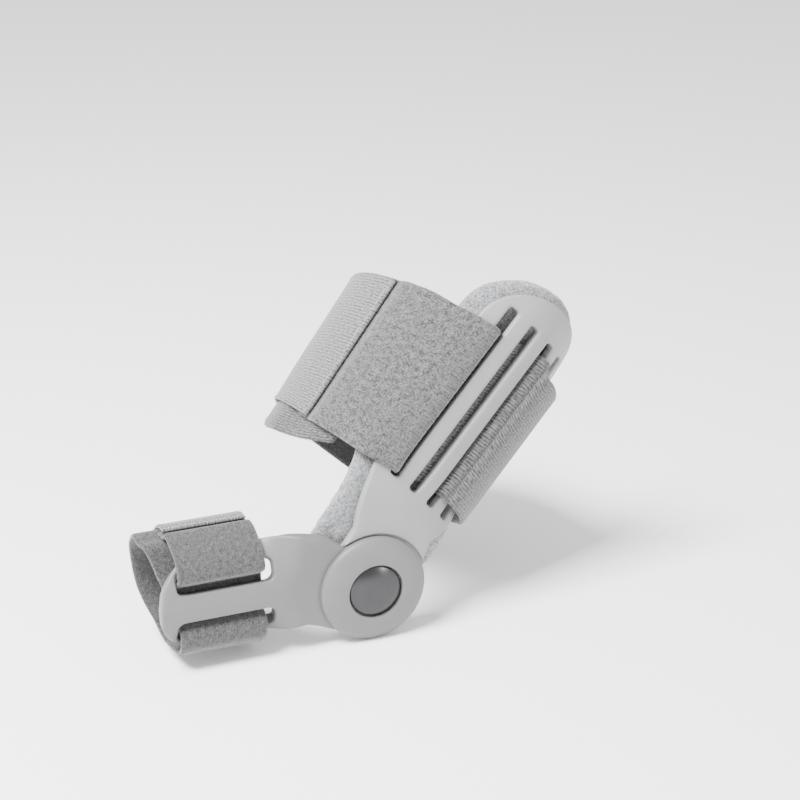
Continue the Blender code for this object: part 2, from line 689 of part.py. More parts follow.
def toe_route():
    """Rows of kind, first value, second value and shift, from behind the arm's upper rim."""
    upper, lower = arm_slots()
    exit_place = (upper[0] + upper[1]) / 2
    entry = (lower[0] + lower[1]) / 2 + 0.1 * ARM_SLOT_HEIGHT
    passing = -(GAP + STRAP_THICKNESS / 2)
    under = passing - STRAP_THICKNESS - GAP
    over = ARM_THICKNESS + GAP + STRAP_THICKNESS / 2
    step = STRAP_THICKNESS
    loop_top = LEVEL_UNDER_LAP
    rim = ARM_CREST + ARM_TOP
    deep = TOE_LOOP_DEPTH
    tall = TOE_LOOP_HEIGHT
    return (
        ("arm", ARM_CREST + 0.3 * ARM_TOP, under, 0.113), ("arm", ARM_CREST + 0.5 * ARM_TOP, under, 0.132),
        ("arm", ARM_CREST + 0.7 * ARM_TOP, 1.08 * under, 0.158),
        ("loop", 67, loop_top + 2.0 * step, 0.207), ("loop", 81, loop_top + 0.35 * step, 0.263),
        ("loop", 96, loop_top, 0.301), ("loop", 108, LEVEL_LAP, 0.316), ("loop", 124, LEVEL_LAP, 0.316),
        ("loop", 145, LEVEL_LAP, 0.301), ("loop", 170, LEVEL_LAP, 0.263), ("loop", 195, LEVEL_LAP, 0.226),
        ("loop", 220, LEVEL_LAP, 0.169), ("loop", 245, LEVEL_LAP, 0.113),
        ("free", 0.400 * deep, -0.665 * tall, 0.075), ("free", 0.120 * deep, -0.700 * tall, 0.053),
        ("free", -0.130 * deep, -0.665 * tall, 0.030), ("free", -0.350 * deep, -0.560 * tall, 0.015),
        ("free", -0.500 * deep, -0.410 * tall, 0.008),
        ("arm", entry - 0.5 * step, over - 0.35 * step, 0.0),
        ("arm", entry, 0.5 * ARM_THICKNESS, 0.0),
        ("arm", entry + 0.4 * step, 0.35 * passing, 0.0),
        ("arm", entry + 1.4 * step, passing, 0.0), ("arm", lower[1] + step, passing, 0.0),
        ("arm", ARM_CREST, passing, 0.0), ("arm", upper[0] - step, passing, 0.0),
        ("arm", exit_place - 1.4 * step, passing, 0.0),
        ("arm", exit_place - 0.4 * step, 0.35 * passing, 0.0),
        ("arm", exit_place, 0.5 * ARM_THICKNESS, 0.0),
        ("arm", exit_place + 0.5 * step, over - 0.35 * step, 0.0),
        ("arm", upper[1] + 0.3 * step, over + 0.1 * step, 0.0),
        ("arm", upper[1] + 2.2 * step, over + 0.1 * step, 0.0),
        ("arm", rim, over, 0.011),
        ("loop", 70, LEVEL_OUTER, 0.023), ("loop", 77, LEVEL_OUTER, 0.034),
        ("loop", 83, LEVEL_LAP, 0.041), ("loop", 89, LEVEL_LAP, 0.045), ("loop", 98, LEVEL_LAP, 0.053),
    )


def toe_tab_route():
    return tuple(("loop", angle, LEVEL_TAB, 0.045) for angle in (85, 92, 100, 110, 120, 132, 144, 156))


def toe_point(row, share, width, start):
    kind, first, second, shift = row
    along = start + width * (share + shift)
    if kind == "loop":
        return toe_loop(along, first, second)
    if kind == "free":
        clear = ease(0.9 + 2 * first / TOE_LOOP_DEPTH)
        return Vector((-along, first, second * (1 - clear * (1 - toe_taper(along)))))
    return arm_point(along, first, second)


def build_band(name, route, point, size, columns, collection, material, steps=3):
    """Strap as an open sheet lofted across its width, then given its thickness."""
    width, start, thickness = size
    lines = []
    for share in np.linspace(0.0, 1.0, columns):
        places = [tuple(point(row, share, width, start)) for row in route]
        lines.append(smooth_through(places, steps))
    tool = bmesh.new()
    grid = [[tool.verts.new(place) for place in line] for line in lines]
    for line, following in zip(grid, grid[1:]):
        for i in range(len(line) - 1):
            tool.faces.new((line[i], line[i + 1], following[i + 1], following[i]))
    mesh = bpy.data.meshes.new(name)
    tool.to_mesh(mesh)
    tool.free()
    band = add_object(name, mesh, collection, material)
    wall = band.modifiers.new("thickness", "SOLIDIFY")
    wall.thickness = thickness
    wall.offset = 0.0
    wall.use_even_offset = True
    shade(mesh)
    return band


def build_straps(collection, materials):
    foot = (FOOT_STRAP_WIDTH, FOOT_STRAP_START, STRAP_THICKNESS)
    foot_tab = (FOOT_STRAP_WIDTH - 2 * FOOT_TAB_INSET, FOOT_STRAP_START + FOOT_TAB_INSET,
                TAB_THICKNESS)
    toe = (TOE_STRAP_WIDTH, TOE_STRAP_START, STRAP_THICKNESS)
    toe_tab = (TOE_STRAP_WIDTH - 2 * TOE_TAB_INSET, TOE_STRAP_START + TOE_TAB_INSET,
               TAB_THICKNESS)
    fabric = materials["strap_loop_fabric"]
    weave = materials["hook_tab_weave"]
    build_band("foot_strap", foot_route(), foot_point, foot, 5, collection, fabric)
    build_band("foot_strap_hook_tab", foot_tab_route(), foot_point, foot_tab, 3, collection, weave)
    return (
        build_band("toe_strap", toe_route(), toe_point, toe, 2, collection,
                   materials["toe_strap_fabric"]),
        build_band("toe_strap_hook_tab", toe_tab_route(), toe_point, toe_tab, 2, collection, weave),
    )


def main():
    clear_scene()
    parts = new_collection("bunion_corrector")
    workshop = new_collection("workshop")
    materials = {name: make_material(name) for name in MATERIALS}
    build_plate(parts, workshop, materials["plate_plastic"])
    build_pad(parts, workshop, materials["pad_terry"])
    build_rivet(parts, materials["rivet_metal"])
    arm = build_toe_arm(parts, workshop, materials["arm_plastic"])
    toe_pieces = build_straps(parts, materials)
    pivot = bpy.data.objects.new("toe_arm_pivot", None)
    parts.objects.link(pivot)
    for piece in (arm, *toe_pieces):
        piece.parent = pivot


main()
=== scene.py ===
"""Bunion corrector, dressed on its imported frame.

Metres, +Z up. The hinge axis is world Y through the origin, the toes point to -X, and the
wearer's foot lies on the +Y side of the pad.
"""
from __future__ import annotations

import json
import logging
import math
from dataclasses import dataclass, field
from enum import Enum
from typing import Callable, Sequence

import bmesh
import bpy
import numpy as np
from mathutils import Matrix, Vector, noise

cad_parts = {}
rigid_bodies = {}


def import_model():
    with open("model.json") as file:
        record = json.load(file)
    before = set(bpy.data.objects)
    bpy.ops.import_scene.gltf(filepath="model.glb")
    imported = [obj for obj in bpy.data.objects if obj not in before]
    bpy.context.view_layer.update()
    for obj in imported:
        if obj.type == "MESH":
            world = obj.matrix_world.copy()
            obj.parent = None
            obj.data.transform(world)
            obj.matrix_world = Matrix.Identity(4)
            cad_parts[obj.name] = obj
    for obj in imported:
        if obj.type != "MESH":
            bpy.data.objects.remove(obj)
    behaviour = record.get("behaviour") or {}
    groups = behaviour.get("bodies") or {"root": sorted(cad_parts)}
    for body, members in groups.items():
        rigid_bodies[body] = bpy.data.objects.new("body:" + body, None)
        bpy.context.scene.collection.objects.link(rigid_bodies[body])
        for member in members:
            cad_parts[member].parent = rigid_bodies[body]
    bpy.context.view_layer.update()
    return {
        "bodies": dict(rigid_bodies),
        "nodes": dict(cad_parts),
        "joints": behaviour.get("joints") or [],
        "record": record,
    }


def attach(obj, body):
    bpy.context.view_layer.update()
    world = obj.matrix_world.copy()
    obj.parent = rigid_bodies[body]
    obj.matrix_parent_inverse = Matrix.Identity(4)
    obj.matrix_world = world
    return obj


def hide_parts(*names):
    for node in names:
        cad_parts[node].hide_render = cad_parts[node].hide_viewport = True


log = logging.getLogger("bunion_corrector")

MM = 0.001
GAP = 0.3 * MM
BORE_RADIUS = 3.3 * MM
RECESS_DEPTH = 1.9 * MM
ABOVE_ALL = 12 * MM
CORNER = 32.0

Color = tuple[float, float, float]
Point2 = tuple[float, float]
Row = tuple[str, float, float, float]
Node = bpy.types.Node
Socket = bpy.types.NodeSocket


class Body(Enum):
    """Rigid bodies of the frame."""

    SPLINT = "splint"
    TOE_ARM = "toe_arm"


class Slot(Enum):
    """Material slots of the record."""

    PLATE = "plate_plastic"
    ARM = "arm_plastic"
    RIVET = "rivet_metal"
    PAD = "pad_terry"
    FOOT_STRAP = "strap_loop_fabric"
    TOE_STRAP = "toe_strap_fabric"
    TAB = "hook_tab_weave"


# Curves and meshes


def ease(x: float) -> float:
    """Smooth step from 0 to 1."""
    x = min(max(x, 0.0), 1.0)
    return x * x * (3 - 2 * x)


def arc(center: Point2, radius: float, start: float, end: float, steps: int) -> list[Point2]:
    """Points of a circle's arc.

    Args:
        center: Middle of the circle.
        radius: Its radius.
        start: First angle in degrees.
        end: Last angle in degrees.
        steps: Number of chords.

    Returns:
        The points, both ends included.
    """
    angles = np.radians(np.linspace(start, end, steps + 1))
    return [(center[0] + radius * math.cos(a), center[1] + radius * math.sin(a)) for a in angles]


def smooth_through(points: Sequence[Sequence[float]], steps: int) -> list[np.ndarray]:
    """Smooth open curve through points, spaced by its chords.

    Args:
        points: Places to pass through, in two or three dimensions.
        steps: Points made for each chord.

    Returns:
        Points of the curve, with the last place.
    """
    pts = [np.array(p, float) for p in points]
    pts = [2 * pts[0] - pts[1]] + pts + [2 * pts[-1] - pts[-2]]
    out = []
    for a, b, c, d in zip(pts, pts[1:], pts[2:], pts[3:]):
        ab = math.sqrt(max(np.linalg.norm(b - a), 1e-9))
        bc = math.sqrt(max(np.linalg.norm(c - b), 1e-9))
        cd = math.sqrt(max(np.linalg.norm(d - c), 1e-9))
        into = (b - a) / ab - (c - a) / (ab + bc) + (c - b) / bc
        away = (c - b) / bc - (d - b) / (bc + cd) + (d - c) / cd
        for i in range(steps):
            x = i / steps
            h1 = 2 * x**3 - 3 * x**2 + 1
            h2 = x**3 - 2 * x**2 + x
            h3 = -2 * x**3 + 3 * x**2
            h4 = x**3 - x**2
            out.append(h1 * b + h2 * bc * into + h3 * c + h4 * bc * away)
    out.append(pts[-2])
    return out


def rounded_slot(start: float, end: float, low: float, high: float, radius: float,
                 steps: int = 5) -> list[Point2]:
    """Outline of a long opening with rounded corners."""
    corners = ((end - radius, high - radius, 0), (start + radius, high - radius, 90),
               (start + radius, low + radius, 180), (end - radius, low + radius, 270))
    outline: list[Point2] = []
    for x, y, turn in corners:
        outline += arc((x, y), radius, turn, turn + 90, steps)
    return outline


def link_mesh(name: str, mesh: bpy.types.Mesh) -> bpy.types.Object:
    """New object in the scene's collection."""
    obj = bpy.data.objects.new(name, mesh)
    bpy.context.scene.collection.objects.link(obj)
    return obj


def settle(obj: bpy.types.Object) -> None:
    """Turn an object's modifiers and place into its own plain mesh."""
    bpy.context.view_layer.update()
    graph = bpy.context.evaluated_depsgraph_get()
    mesh = bpy.data.meshes.new_from_object(obj.evaluated_get(graph), depsgraph=graph)
    mesh.transform(obj.matrix_world)
    old = obj.data
    obj.modifiers.clear()
    obj.data = mesh
    obj.matrix_world.identity()
    mesh.name = obj.name
    bpy.data.meshes.remove(old)


def shade(obj: bpy.types.Object, angle: float) -> None:
    """Smooth shading that keeps corners sharper than the angle."""
    obj.data.shade_smooth()
    obj.data.set_sharp_from_angle(angle=math.radians(angle))


def cover(obj: bpy.types.Object, material: bpy.types.Material) -> None:
    """Give an object one material."""
    obj.data.materials.clear()
    obj.data.materials.append(material)


def flat_plate(outline: Sequence[Point2], holes: Sequence[Sequence[Point2]], thickness: float,
               edge: float, cuts_x: Sequence[float], cuts_y: Sequence[float]) -> bpy.types.Mesh:
    """Closed flat plate with holes and rounded edges, sliced where it will be bent.

    Args:
        outline: Points round the plate, in metres.
        holes: Points round each opening.
        thickness: Height of the plate, from z 0 upwards.
        edge: Radius of the rounded edges.
        cuts_x: Places sliced across x.
        cuts_y: Places sliced across y.

    Returns:
        The mesh, worked in millimetres and handed back in metres.
    """
    curve = bpy.data.curves.new("outline", "CURVE")
    curve.dimensions = "2D"
    curve.fill_mode = "BOTH"
    curve.extrude = thickness / 2 / MM
    for ring in [outline, *holes]:
        spline = curve.splines.new("POLY")
        spline.points.add(len(ring) - 1)
        spline.use_cyclic_u = True
        for point, place in zip(spline.points, ring):
            point.co = (place[0] / MM, place[1] / MM, 0.0, 1.0)
    guide = bpy.data.objects.new("outline", curve)
    bpy.context.scene.collection.objects.link(guide)
    graph = bpy.context.evaluated_depsgraph_get()
    mesh = bpy.data.meshes.new_from_object(guide.evaluated_get(graph))
    bpy.data.objects.remove(guide, do_unlink=True)
    tool = bmesh.new()
    tool.from_mesh(mesh)
    bmesh.ops.remove_doubles(tool, verts=tool.verts, dist=0.002)
    bmesh.ops.dissolve_limit(tool, angle_limit=math.radians(1.0), verts=tool.verts, edges=tool.edges)
    bmesh.ops.recalc_face_normals(tool, faces=tool.faces)
    if edge > 0:
        rim = [e for e in tool.edges if e.calc_face_angle(0.0) > math.radians(60)]
        bmesh.ops.bevel(tool, geom=rim, offset=edge / MM, segments=4, affect="EDGES", profile=0.5)
    for cuts, normal in ((cuts_x, (1, 0, 0)), (cuts_y, (0, 1, 0))):
        for cut in cuts:
            everything = tool.verts[:] + tool.edges[:] + tool.faces[:]
            bmesh.ops.bisect_plane(tool, geom=everything, plane_co=Vector(normal) * (cut / MM),
                                   plane_no=normal, dist=0.004)
    bmesh.ops.remove_doubles(tool, verts=tool.verts, dist=0.006)
    bmesh.ops.triangulate(tool, faces=tool.faces)
    for vert in tool.verts:
        vert.co *= MM
        vert.co.z += thickness / 2
    tool.to_mesh(mesh)
    tool.free()
    return mesh


def bend_mesh(mesh: bpy.types.Mesh, place: Callable[[float, float, float], Vector]) -> None:
    """Move each point of a flat mesh to place(x, y, z)."""
    tool = bmesh.new()
    tool.from_mesh(mesh)
    for vert in tool.verts:
        vert.co = place(*vert.co)
    bmesh.ops.recalc_face_normals(tool, faces=tool.faces)
    tool.to_mesh(mesh)
    tool.free()


def turned_mesh(name: str, profile: Sequence[Point2], steps: int = 96) -> bpy.types.Mesh:
    """Solid turned round the hinge axis.

    Args:
        name: Name of the mesh.
        profile: Rows of radius and height over the pad, running outwards and down.
        steps: Facets round the axis.

    Returns:
        Closed mesh in world coordinates.
    """
    tool = bmesh.new()
    rings = []
    for radius, height in profile:
        if radius < 1e-7:
            rings.append([tool.verts.new((0.0, -height, 0.0))])
            continue
        angles = [2 * math.pi * i / steps for i in range(steps)]
        rings.append([tool.verts.new((radius * math.cos(a), -height, radius * math.sin(a)))
                      for a in angles])
    closed = profile[0][0] > 1e-7
    pairs = list(zip(rings, rings[1:] + ([rings[0]] if closed else [])))
    for ring, following in pairs[:len(rings) if closed else len(rings) - 1]:
        for i in range(steps):
            j = (i + 1) % steps
            corners = [ring[i % len(ring)], ring[j % len(ring)],
                       following[j % len(following)], following[i % len(following)]]
            unique = list(dict.fromkeys(corners))
            if len(unique) > 2:
                tool.faces.new(unique)
    bmesh.ops.recalc_face_normals(tool, faces=tool.faces)
    mesh = bpy.data.meshes.new(name)
    tool.to_mesh(mesh)
    tool.free()
    return mesh


def combine(target: bpy.types.Object, other: bpy.types.Object, operation: str) -> None:
    """Exact Boolean of two meshes; the second object is used up."""
    modifier = target.modifiers.new("combine", "BOOLEAN")
    modifier.operation = operation
    modifier.object = other
    modifier.solver = "EXACT"
    settle(target)
    bpy.data.objects.remove(other, do_unlink=True)


def hinge_cylinder(name: str, radius: float, low: float, high: float) -> bpy.types.Object:
    """Cylinder on the hinge axis between two heights over the pad."""
    profile = [(0.0, high), (radius, high), (radius, low), (0.0, low)]
    return link_mesh(name, turned_mesh(name, profile))


# Node trees


class NodeSheet:
    """Short calls for filling a shader or geometry node tree."""

    def __init__(self, tree: bpy.types.NodeTree) -> None:
        """Keep the tree that the calls fill."""
        self.tree = tree

    def node(self, kind: str, **settings: object) -> Node:
        """New node with the given properties."""
        made = self.tree.nodes.new(kind)
        for name, value in settings.items():
            setattr(made, name, value)
        return made

    def feed(self, socket: Socket, value: object) -> None:
        """Link a socket into an input, or set the input's value."""
        if isinstance(value, bpy.types.NodeSocket):
            self.tree.links.new(value, socket)
        else:
            socket.default_value = value

    def add(self, kind: str, values: dict[object, object], **settings: object) -> Node:
        """New node with its inputs fed by name or number."""
        made = self.node(kind, **settings)
        for key, value in values.items():
            self.feed(made.inputs[key], value)
        return made

    def math(self, operation: str, first: object, second: object = 0.0,
             third: object = 0.0) -> Socket:
        """Result of a Math node."""
        values = {0: first, 1: second, 2: third}
        return self.add("ShaderNodeMath", values, operation=operation).outputs[0]

    def vector(self, operation: str, first: object, second: object = (0.0, 0.0, 0.0)) -> Socket:
        """Vector result of a Vector Math node."""
        key = "Scale" if operation == "SCALE" else 1
        return self.add("ShaderNodeVectorMath", {0: first, key: second},
                        operation=operation).outputs[0]

    def noise(self, place: Socket, scale: float, detail: float = 2.0, rough: float = 0.5) -> Socket:
        """Noise value at a place, about 0.5 on the mean."""
        values = {"Vector": place, "Scale": scale, "Detail": detail, "Roughness": rough}
        return self.add("ShaderNodeTexNoise", values).outputs[0]

    def span(self, value: Socket, low: float, high: float, to_low: float, to_high: float) -> Socket:
        """Value carried from one range to another, clamped."""
        return self.add("ShaderNodeMapRange", {
            "Value": value, "From Min": low, "From Max": high,
            "To Min": to_low, "To Max": to_high}).outputs[0]

    def tint(self, share: Socket, dark: Color, light: Color) -> Socket:
        """Colour between two colours."""
        values = {0: share, 6: (*dark, 1.0), 7: (*light, 1.0)}
        return self.add("ShaderNodeMix", values, data_type="RGBA").outputs[2]

    def bump(self, height: Socket, distance: float, strength: float = 1.0) -> Socket:
        """Normal of a height in metres times the distance."""
        values = {"Strength": strength, "Distance": distance, "Height": height}
        return self.add("ShaderNodeBump", values).outputs[0]

    def paint(self, shader: Node, color: Socket, normal: Socket, **values: object) -> None:
        """Feed a shader its colour, its normal and, by name, its other inputs.

        Args:
            shader: The Principled node.
            color: Base colour.
            normal: Bumped normal.
            values: Other inputs, with underscores for the spaces in their names.
        """
        self.feed(shader.inputs["Base Color"], color)
        self.feed(shader.inputs["Normal"], normal)
        for name, value in values.items():
            self.feed(shader.inputs[name.replace("_", " ")], value)


def new_material(name: str) -> tuple[bpy.types.Material, NodeSheet, Node, Socket]:
    """New material, its sheet, its shader and its Object coordinates."""
    material = bpy.data.materials.new(name)
    material.use_nodes = True
    sheet = NodeSheet(material.node_tree)
    place = sheet.node("ShaderNodeTexCoord").outputs["Object"]
    return material, sheet, material.node_tree.nodes["Principled BSDF"], place


def shades(color: Color, dark: float, light: float) -> tuple[Color, Color]:
    """A darker and a lighter shade of a colour."""
    return tuple(c * dark for c in color), tuple(min(c * light, 1.0) for c in color)


def grey(value: float, warmth: float = 0.0) -> Color:
    """Grey of a linear value, a little warmer or cooler."""
    return (value * (1 + warmth), value, value * (1 - warmth))


@dataclass(frozen=True)
class MouldedPlastic:
    """Satin injection-moulded plastic with a fine spark-eroded grain."""

    name: str
    color: Color
    roughness: float = 0.46
    grain: float = 0.05 * MM
    grain_size: float = 0.55 * MM

    def material(self) -> bpy.types.Material:
        """Build the material on Object coordinates."""
        material, sheet, shader, place = new_material(self.name)
        cloud = sheet.noise(place, 1 / (9 * MM), 3.0, 0.55)
        fine = sheet.noise(place, 1 / self.grain_size, 4.0, 0.65)
        mixed = sheet.math("MULTIPLY_ADD", fine, 0.35, sheet.math("MULTIPLY", cloud, 0.65))
        share = sheet.span(mixed, 0.33, 0.67, 0.0, 1.0)
        sheet.paint(shader, sheet.tint(share, *shades(self.color, 0.955, 1.035)),
                    sheet.bump(fine, self.grain, 0.55),
                    Roughness=sheet.span(fine, 0.3, 0.7, self.roughness - 0.05,
                                         self.roughness + 0.07),
                    IOR=1.47, Specular_IOR_Level=0.42)
        return material


@dataclass(frozen=True)
class TurnedSteel:
    """Dark satin steel with faint rings from polishing on the hinge axis."""

    name: str = "rivet_satin_steel"
    color: Color = (0.045, 0.045, 0.047)

    def material(self) -> bpy.types.Material:
        """Build the material; the rings follow the distance from the hinge axis."""
        material, sheet, shader, place = new_material(self.name)
        flat = sheet.vector("MULTIPLY", place, (1.0, 0.0, 1.0))
        measure = sheet.add("ShaderNodeVectorMath", {0: flat}, operation="LENGTH")
        away = sheet.add("ShaderNodeCombineXYZ", {0: measure.outputs["Value"]})
        rings = sheet.noise(away.outputs[0], 1 / (0.12 * MM), 2.0)
        haze = sheet.noise(place, 1 / (2.5 * MM), 3.0)
        sheet.paint(shader, sheet.tint(haze, *shades(self.color, 0.86, 1.12)),
                    sheet.bump(rings, 0.012 * MM, 0.35),
                    Roughness=sheet.span(rings, 0.3, 0.7, 0.20, 0.27), Metallic=0.85)
        return material


@dataclass(frozen=True)
class TerryCloth:
    """Brushed terry over foam: soft loops about half a millimetre across."""

    name: str = "pad_terry_cloth"
    # dark is the painted shade in the pits between the loops; light is the loop tops.
    dark: Color = (0.08, 0.083, 0.087)
    light: Color = (0.31, 0.317, 0.324)
    loop_size: float = 0.75 * MM

    def material(self) -> bpy.types.Material:
        """Build the material on Object coordinates."""
        material, sheet, shader, place = new_material(self.name)
        loops = sheet.noise(place, 1 / self.loop_size, 3.0, 0.6)
        tufts = sheet.noise(place, 1 / (2.4 * self.loop_size), 2.0)
        cells = sheet.add("ShaderNodeTexVoronoi", {"Vector": place,
                                                   "Scale": 1 / (0.9 * self.loop_size)})
        pits = sheet.span(cells.outputs["Distance"], 0.0, 0.7, 1.0, 0.0)
        height = sheet.math("MULTIPLY_ADD", loops, 0.55, sheet.math("MULTIPLY", pits, 0.3))
        height = sheet.math("MULTIPLY_ADD", tufts, 0.35, height)
        # The tint follows the height, so the low pits between the loops come out darker: painted
        # shade in the hollows of the pile.
        share = sheet.span(height, 0.34, 0.74, 0.0, 1.0)
        sheet.paint(shader, sheet.tint(share, self.dark, self.light),
                    sheet.bump(height, 0.55 * MM, 0.8), Roughness=0.95, Specular_IOR_Level=0.15,
                    Sheen_Weight=0.45, Sheen_Roughness=0.6, Sheen_Tint=(0.95, 0.96, 1.0, 1.0))
        return material


@dataclass(frozen=True)
class LoopWebbing:
    """Hook-and-loop webbing: lengthwise ribs under a brushed, speckled pile, with painted shade in
    the hollows.

    The pattern reads the strap attribute: distance along, distance across, and how brushed.
    """

    name: str
    # dark carries the painted shade of the rib valleys and pile hollows as well as the darkest
    # fibres.
    dark: Color
    light: Color
    rib_pitch: float = 1.05 * MM
    speckle: float = 0.62 * MM
    relief: float = 0.42 * MM
    sheen: float = 0.35

    def material(self) -> bpy.types.Material:
        """Build the material on the strap attribute."""
        material, sheet, shader, _ = new_material(self.name)
        strap = sheet.node("ShaderNodeAttribute", attribute_name="strap").outputs["Vector"]
        _, across, brushed = sheet.add("ShaderNodeSeparateXYZ", {0: strap}).outputs
        flat = sheet.vector("MULTIPLY", strap, (1.0, 1.0, 0.0))
        wander = sheet.noise(flat, 1 / (3.2 * MM), 2.0)
        turn = sheet.math("MULTIPLY", across, 2 * math.pi / self.rib_pitch)
        wave = sheet.math("SINE", sheet.math("MULTIPLY_ADD", wander, 5.0, turn))
        ribs = sheet.span(wave, -1.0, 1.0, 0.0, 1.0)
        dashes = sheet.noise(sheet.vector("MULTIPLY", flat, (0.42, 1.0, 0.0)), 1 / (0.5 * MM), 2.0)
        knit = sheet.math("MULTIPLY_ADD", ribs, 0.17, sheet.math("MULTIPLY_ADD", dashes, 0.9, 0.09))
        pile = sheet.noise(flat, 1 / self.speckle, 3.0, 0.62)
        clumps = sheet.noise(flat, 1 / (2.6 * self.speckle), 2.0)
        nap = sheet.math("MULTIPLY_ADD", clumps, 0.42, sheet.math("MULTIPLY", pile, 0.85))
        height = sheet.add("ShaderNodeMix", {0: brushed, 2: knit, 3: nap},
                           data_type="FLOAT").outputs[0]
        # The tint follows the height: the speckle is partly the webbing's own fibres and partly
        # painted shade, darker in the rib valleys and pile hollows.
        share = sheet.span(height, 0.47, 0.80, 0.0, 1.0)
        sheet.paint(shader, sheet.tint(share, self.dark, self.light),
                    sheet.bump(height, self.relief, 0.85), Roughness=0.93,
                    Specular_IOR_Level=0.18, Sheen_Weight=self.sheen, Sheen_Roughness=0.55)
        return material


@dataclass(frozen=True)
class SewingThread:
    """Twisted polyester thread and loose fibres."""

    name: str
    color: Color
    twist: float = 0.35 * MM

    def material(self) -> bpy.types.Material:
        """Build the material on Object coordinates."""
        material, sheet, shader, place = new_material(self.name)
        strands = sheet.noise(place, 1 / self.twist, 2.0)
        sheet.paint(shader, sheet.tint(strands, *shades(self.color, 0.82, 1.15)),
                    sheet.bump(strands, 0.05 * MM, 0.5), Roughness=0.8, Sheen_Weight=0.3)
        return material


@dataclass(frozen=True)
class StudioPaper:
    """Matt white paper for the floor."""

    name: str = "studio_paper"
    color: Color = (0.93, 0.93, 0.93)

    def material(self) -> bpy.types.Material:
        """Build the material, with a faint cloudiness."""
        material, sheet, shader, place = new_material(self.name)
        cloud = sheet.noise(place, 6.0, 2.0)
        sheet.feed(shader.inputs["Base Color"],
                   sheet.tint(cloud, *shades(self.color, 0.99, 1.0)))
        sheet.feed(shader.inputs["Roughness"], 0.95)
        return material


class GeometryTree:
    """Geometry Nodes tree with named inputs, run once on an object and made a plain mesh."""

    def __init__(self, name: str, numbers: dict[str, float]) -> None:
        """Start a tree with a geometry, numbers with their defaults, and a material.

        Args:
            name: Name of the tree.
            numbers: Default of each numeric input; a whole number makes a whole-number input.
        """
        self.tree = bpy.data.node_groups.new(name, "GeometryNodeTree")
        self.socket("Geometry", "NodeSocketGeometry")
        self.socket("Geometry", "NodeSocketGeometry", "OUTPUT")
        for key, default in numbers.items():
            kind = "NodeSocketInt" if isinstance(default, int) else "NodeSocketFloat"
            self.socket(key, kind).default_value = default
        self.socket("Material", "NodeSocketMaterial")
        self.sheet = NodeSheet(self.tree)
        self.source = self.sheet.node("NodeGroupInput")
        self.sink = self.sheet.node("NodeGroupOutput")

    def socket(self, name: str, kind: str, way: str = "INPUT") -> bpy.types.NodeTreeInterfaceSocket:
        """Add an input or output to the tree's interface."""
        return self.tree.interface.new_socket(name, in_out=way, socket_type=kind)

    def given(self, name: str) -> Socket:
        """Socket of a named input inside the tree."""
        return self.source.outputs[name]

    def attribute(self, name: str, kind: str = "FLOAT") -> Socket:
        """Value of a mesh attribute."""
        return self.sheet.add("GeometryNodeInputNamedAttribute", {"Name": name},
                              data_type=kind).outputs[0]

    def close(self, geometry: Socket) -> None:
        """End the tree in Realize Instances and Set Material."""
        real = self.sheet.add("GeometryNodeRealizeInstances", {0: geometry})
        paint = self.sheet.add("GeometryNodeSetMaterial", {"Geometry": real.outputs[0],
                                                           "Material": self.given("Material")})
        self.sheet.feed(self.sink.inputs[0], paint.outputs[0])

    def run(self, obj: bpy.types.Object, **values: object) -> None:
        """Put the tree on an object, set its inputs by identifier and settle the result."""
        modifier = obj.modifiers.new(self.tree.name, "NODES")
        modifier.node_group = self.tree
        wanted = {name.replace("_", " "): value for name, value in values.items()}
        for item in self.tree.interface.items_tree:
            if item.in_out == "INPUT" and item.name in wanted:
                modifier[item.identifier] = wanted[item.name]
        settle(obj)


def webbing_tree() -> GeometryTree:
    """Tree that gives a strap its thickness, rounded edges, ribs and pile.

    Returns:
        Tree for a sheet with the strap and edge attributes.
    """
    made = GeometryTree("webbing", {"Thickness": 1.6 * MM, "Rib Pitch": 1.05 * MM,
                                    "Rib Relief": 0.05 * MM, "Pile Relief": 0.1 * MM,
                                    "Pile Size": 1.1 * MM, "Seed": 3.0})
    sheet = made.sheet
    strap = made.attribute("strap", "FLOAT_VECTOR")
    edge = made.attribute("edge")
    parts = sheet.add("ShaderNodeSeparateXYZ", {0: strap})
    full = sheet.math("DIVIDE", 2 * math.pi, made.given("Rib Pitch"))
    wave = sheet.math("SINE", sheet.math("MULTIPLY", parts.outputs[1], full))
    normal = sheet.node("GeometryNodeInputNormal").outputs[0]
    sides = []
    for sign in (1.0, -1.0):
        pile = sheet.add("ShaderNodeTexNoise", {
            "Vector": strap, "W": sheet.math("MULTIPLY", made.given("Seed"), sign),
            "Scale": sheet.math("DIVIDE", 1.0, made.given("Pile Size"))}, noise_dimensions="4D")
        rough = sheet.math("MULTIPLY", sheet.math("SUBTRACT", pile.outputs[0], 0.5),
                           made.given("Pile Relief"))
        relief = sheet.math("MULTIPLY_ADD", wave, made.given("Rib Relief"), rough)
        half = sheet.math("MULTIPLY_ADD", made.given("Thickness"), 0.5, relief)
        reach = sheet.math("MULTIPLY", sheet.math("MULTIPLY", half, edge), sign)
        face = sheet.add("GeometryNodeSetPosition", {
            "Geometry": made.source.outputs[0], "Offset": sheet.vector("SCALE", normal, reach)})
        sides.append(face.outputs[0])
    turned = sheet.add("GeometryNodeFlipFaces", {0: sides[1]})
    both = sheet.add("GeometryNodeJoinGeometry", {0: sides[0]})
    sheet.feed(both.inputs[0], turned.outputs[0])
    merged = sheet.add("GeometryNodeMergeByDistance", {"Geometry": both.outputs[0],
                                                       "Distance": 0.002 * MM})
    smooth = sheet.add("GeometryNodeSetShadeSmooth", {"Geometry": merged.outputs[0]})
    made.close(smooth.outputs[0])
    return made


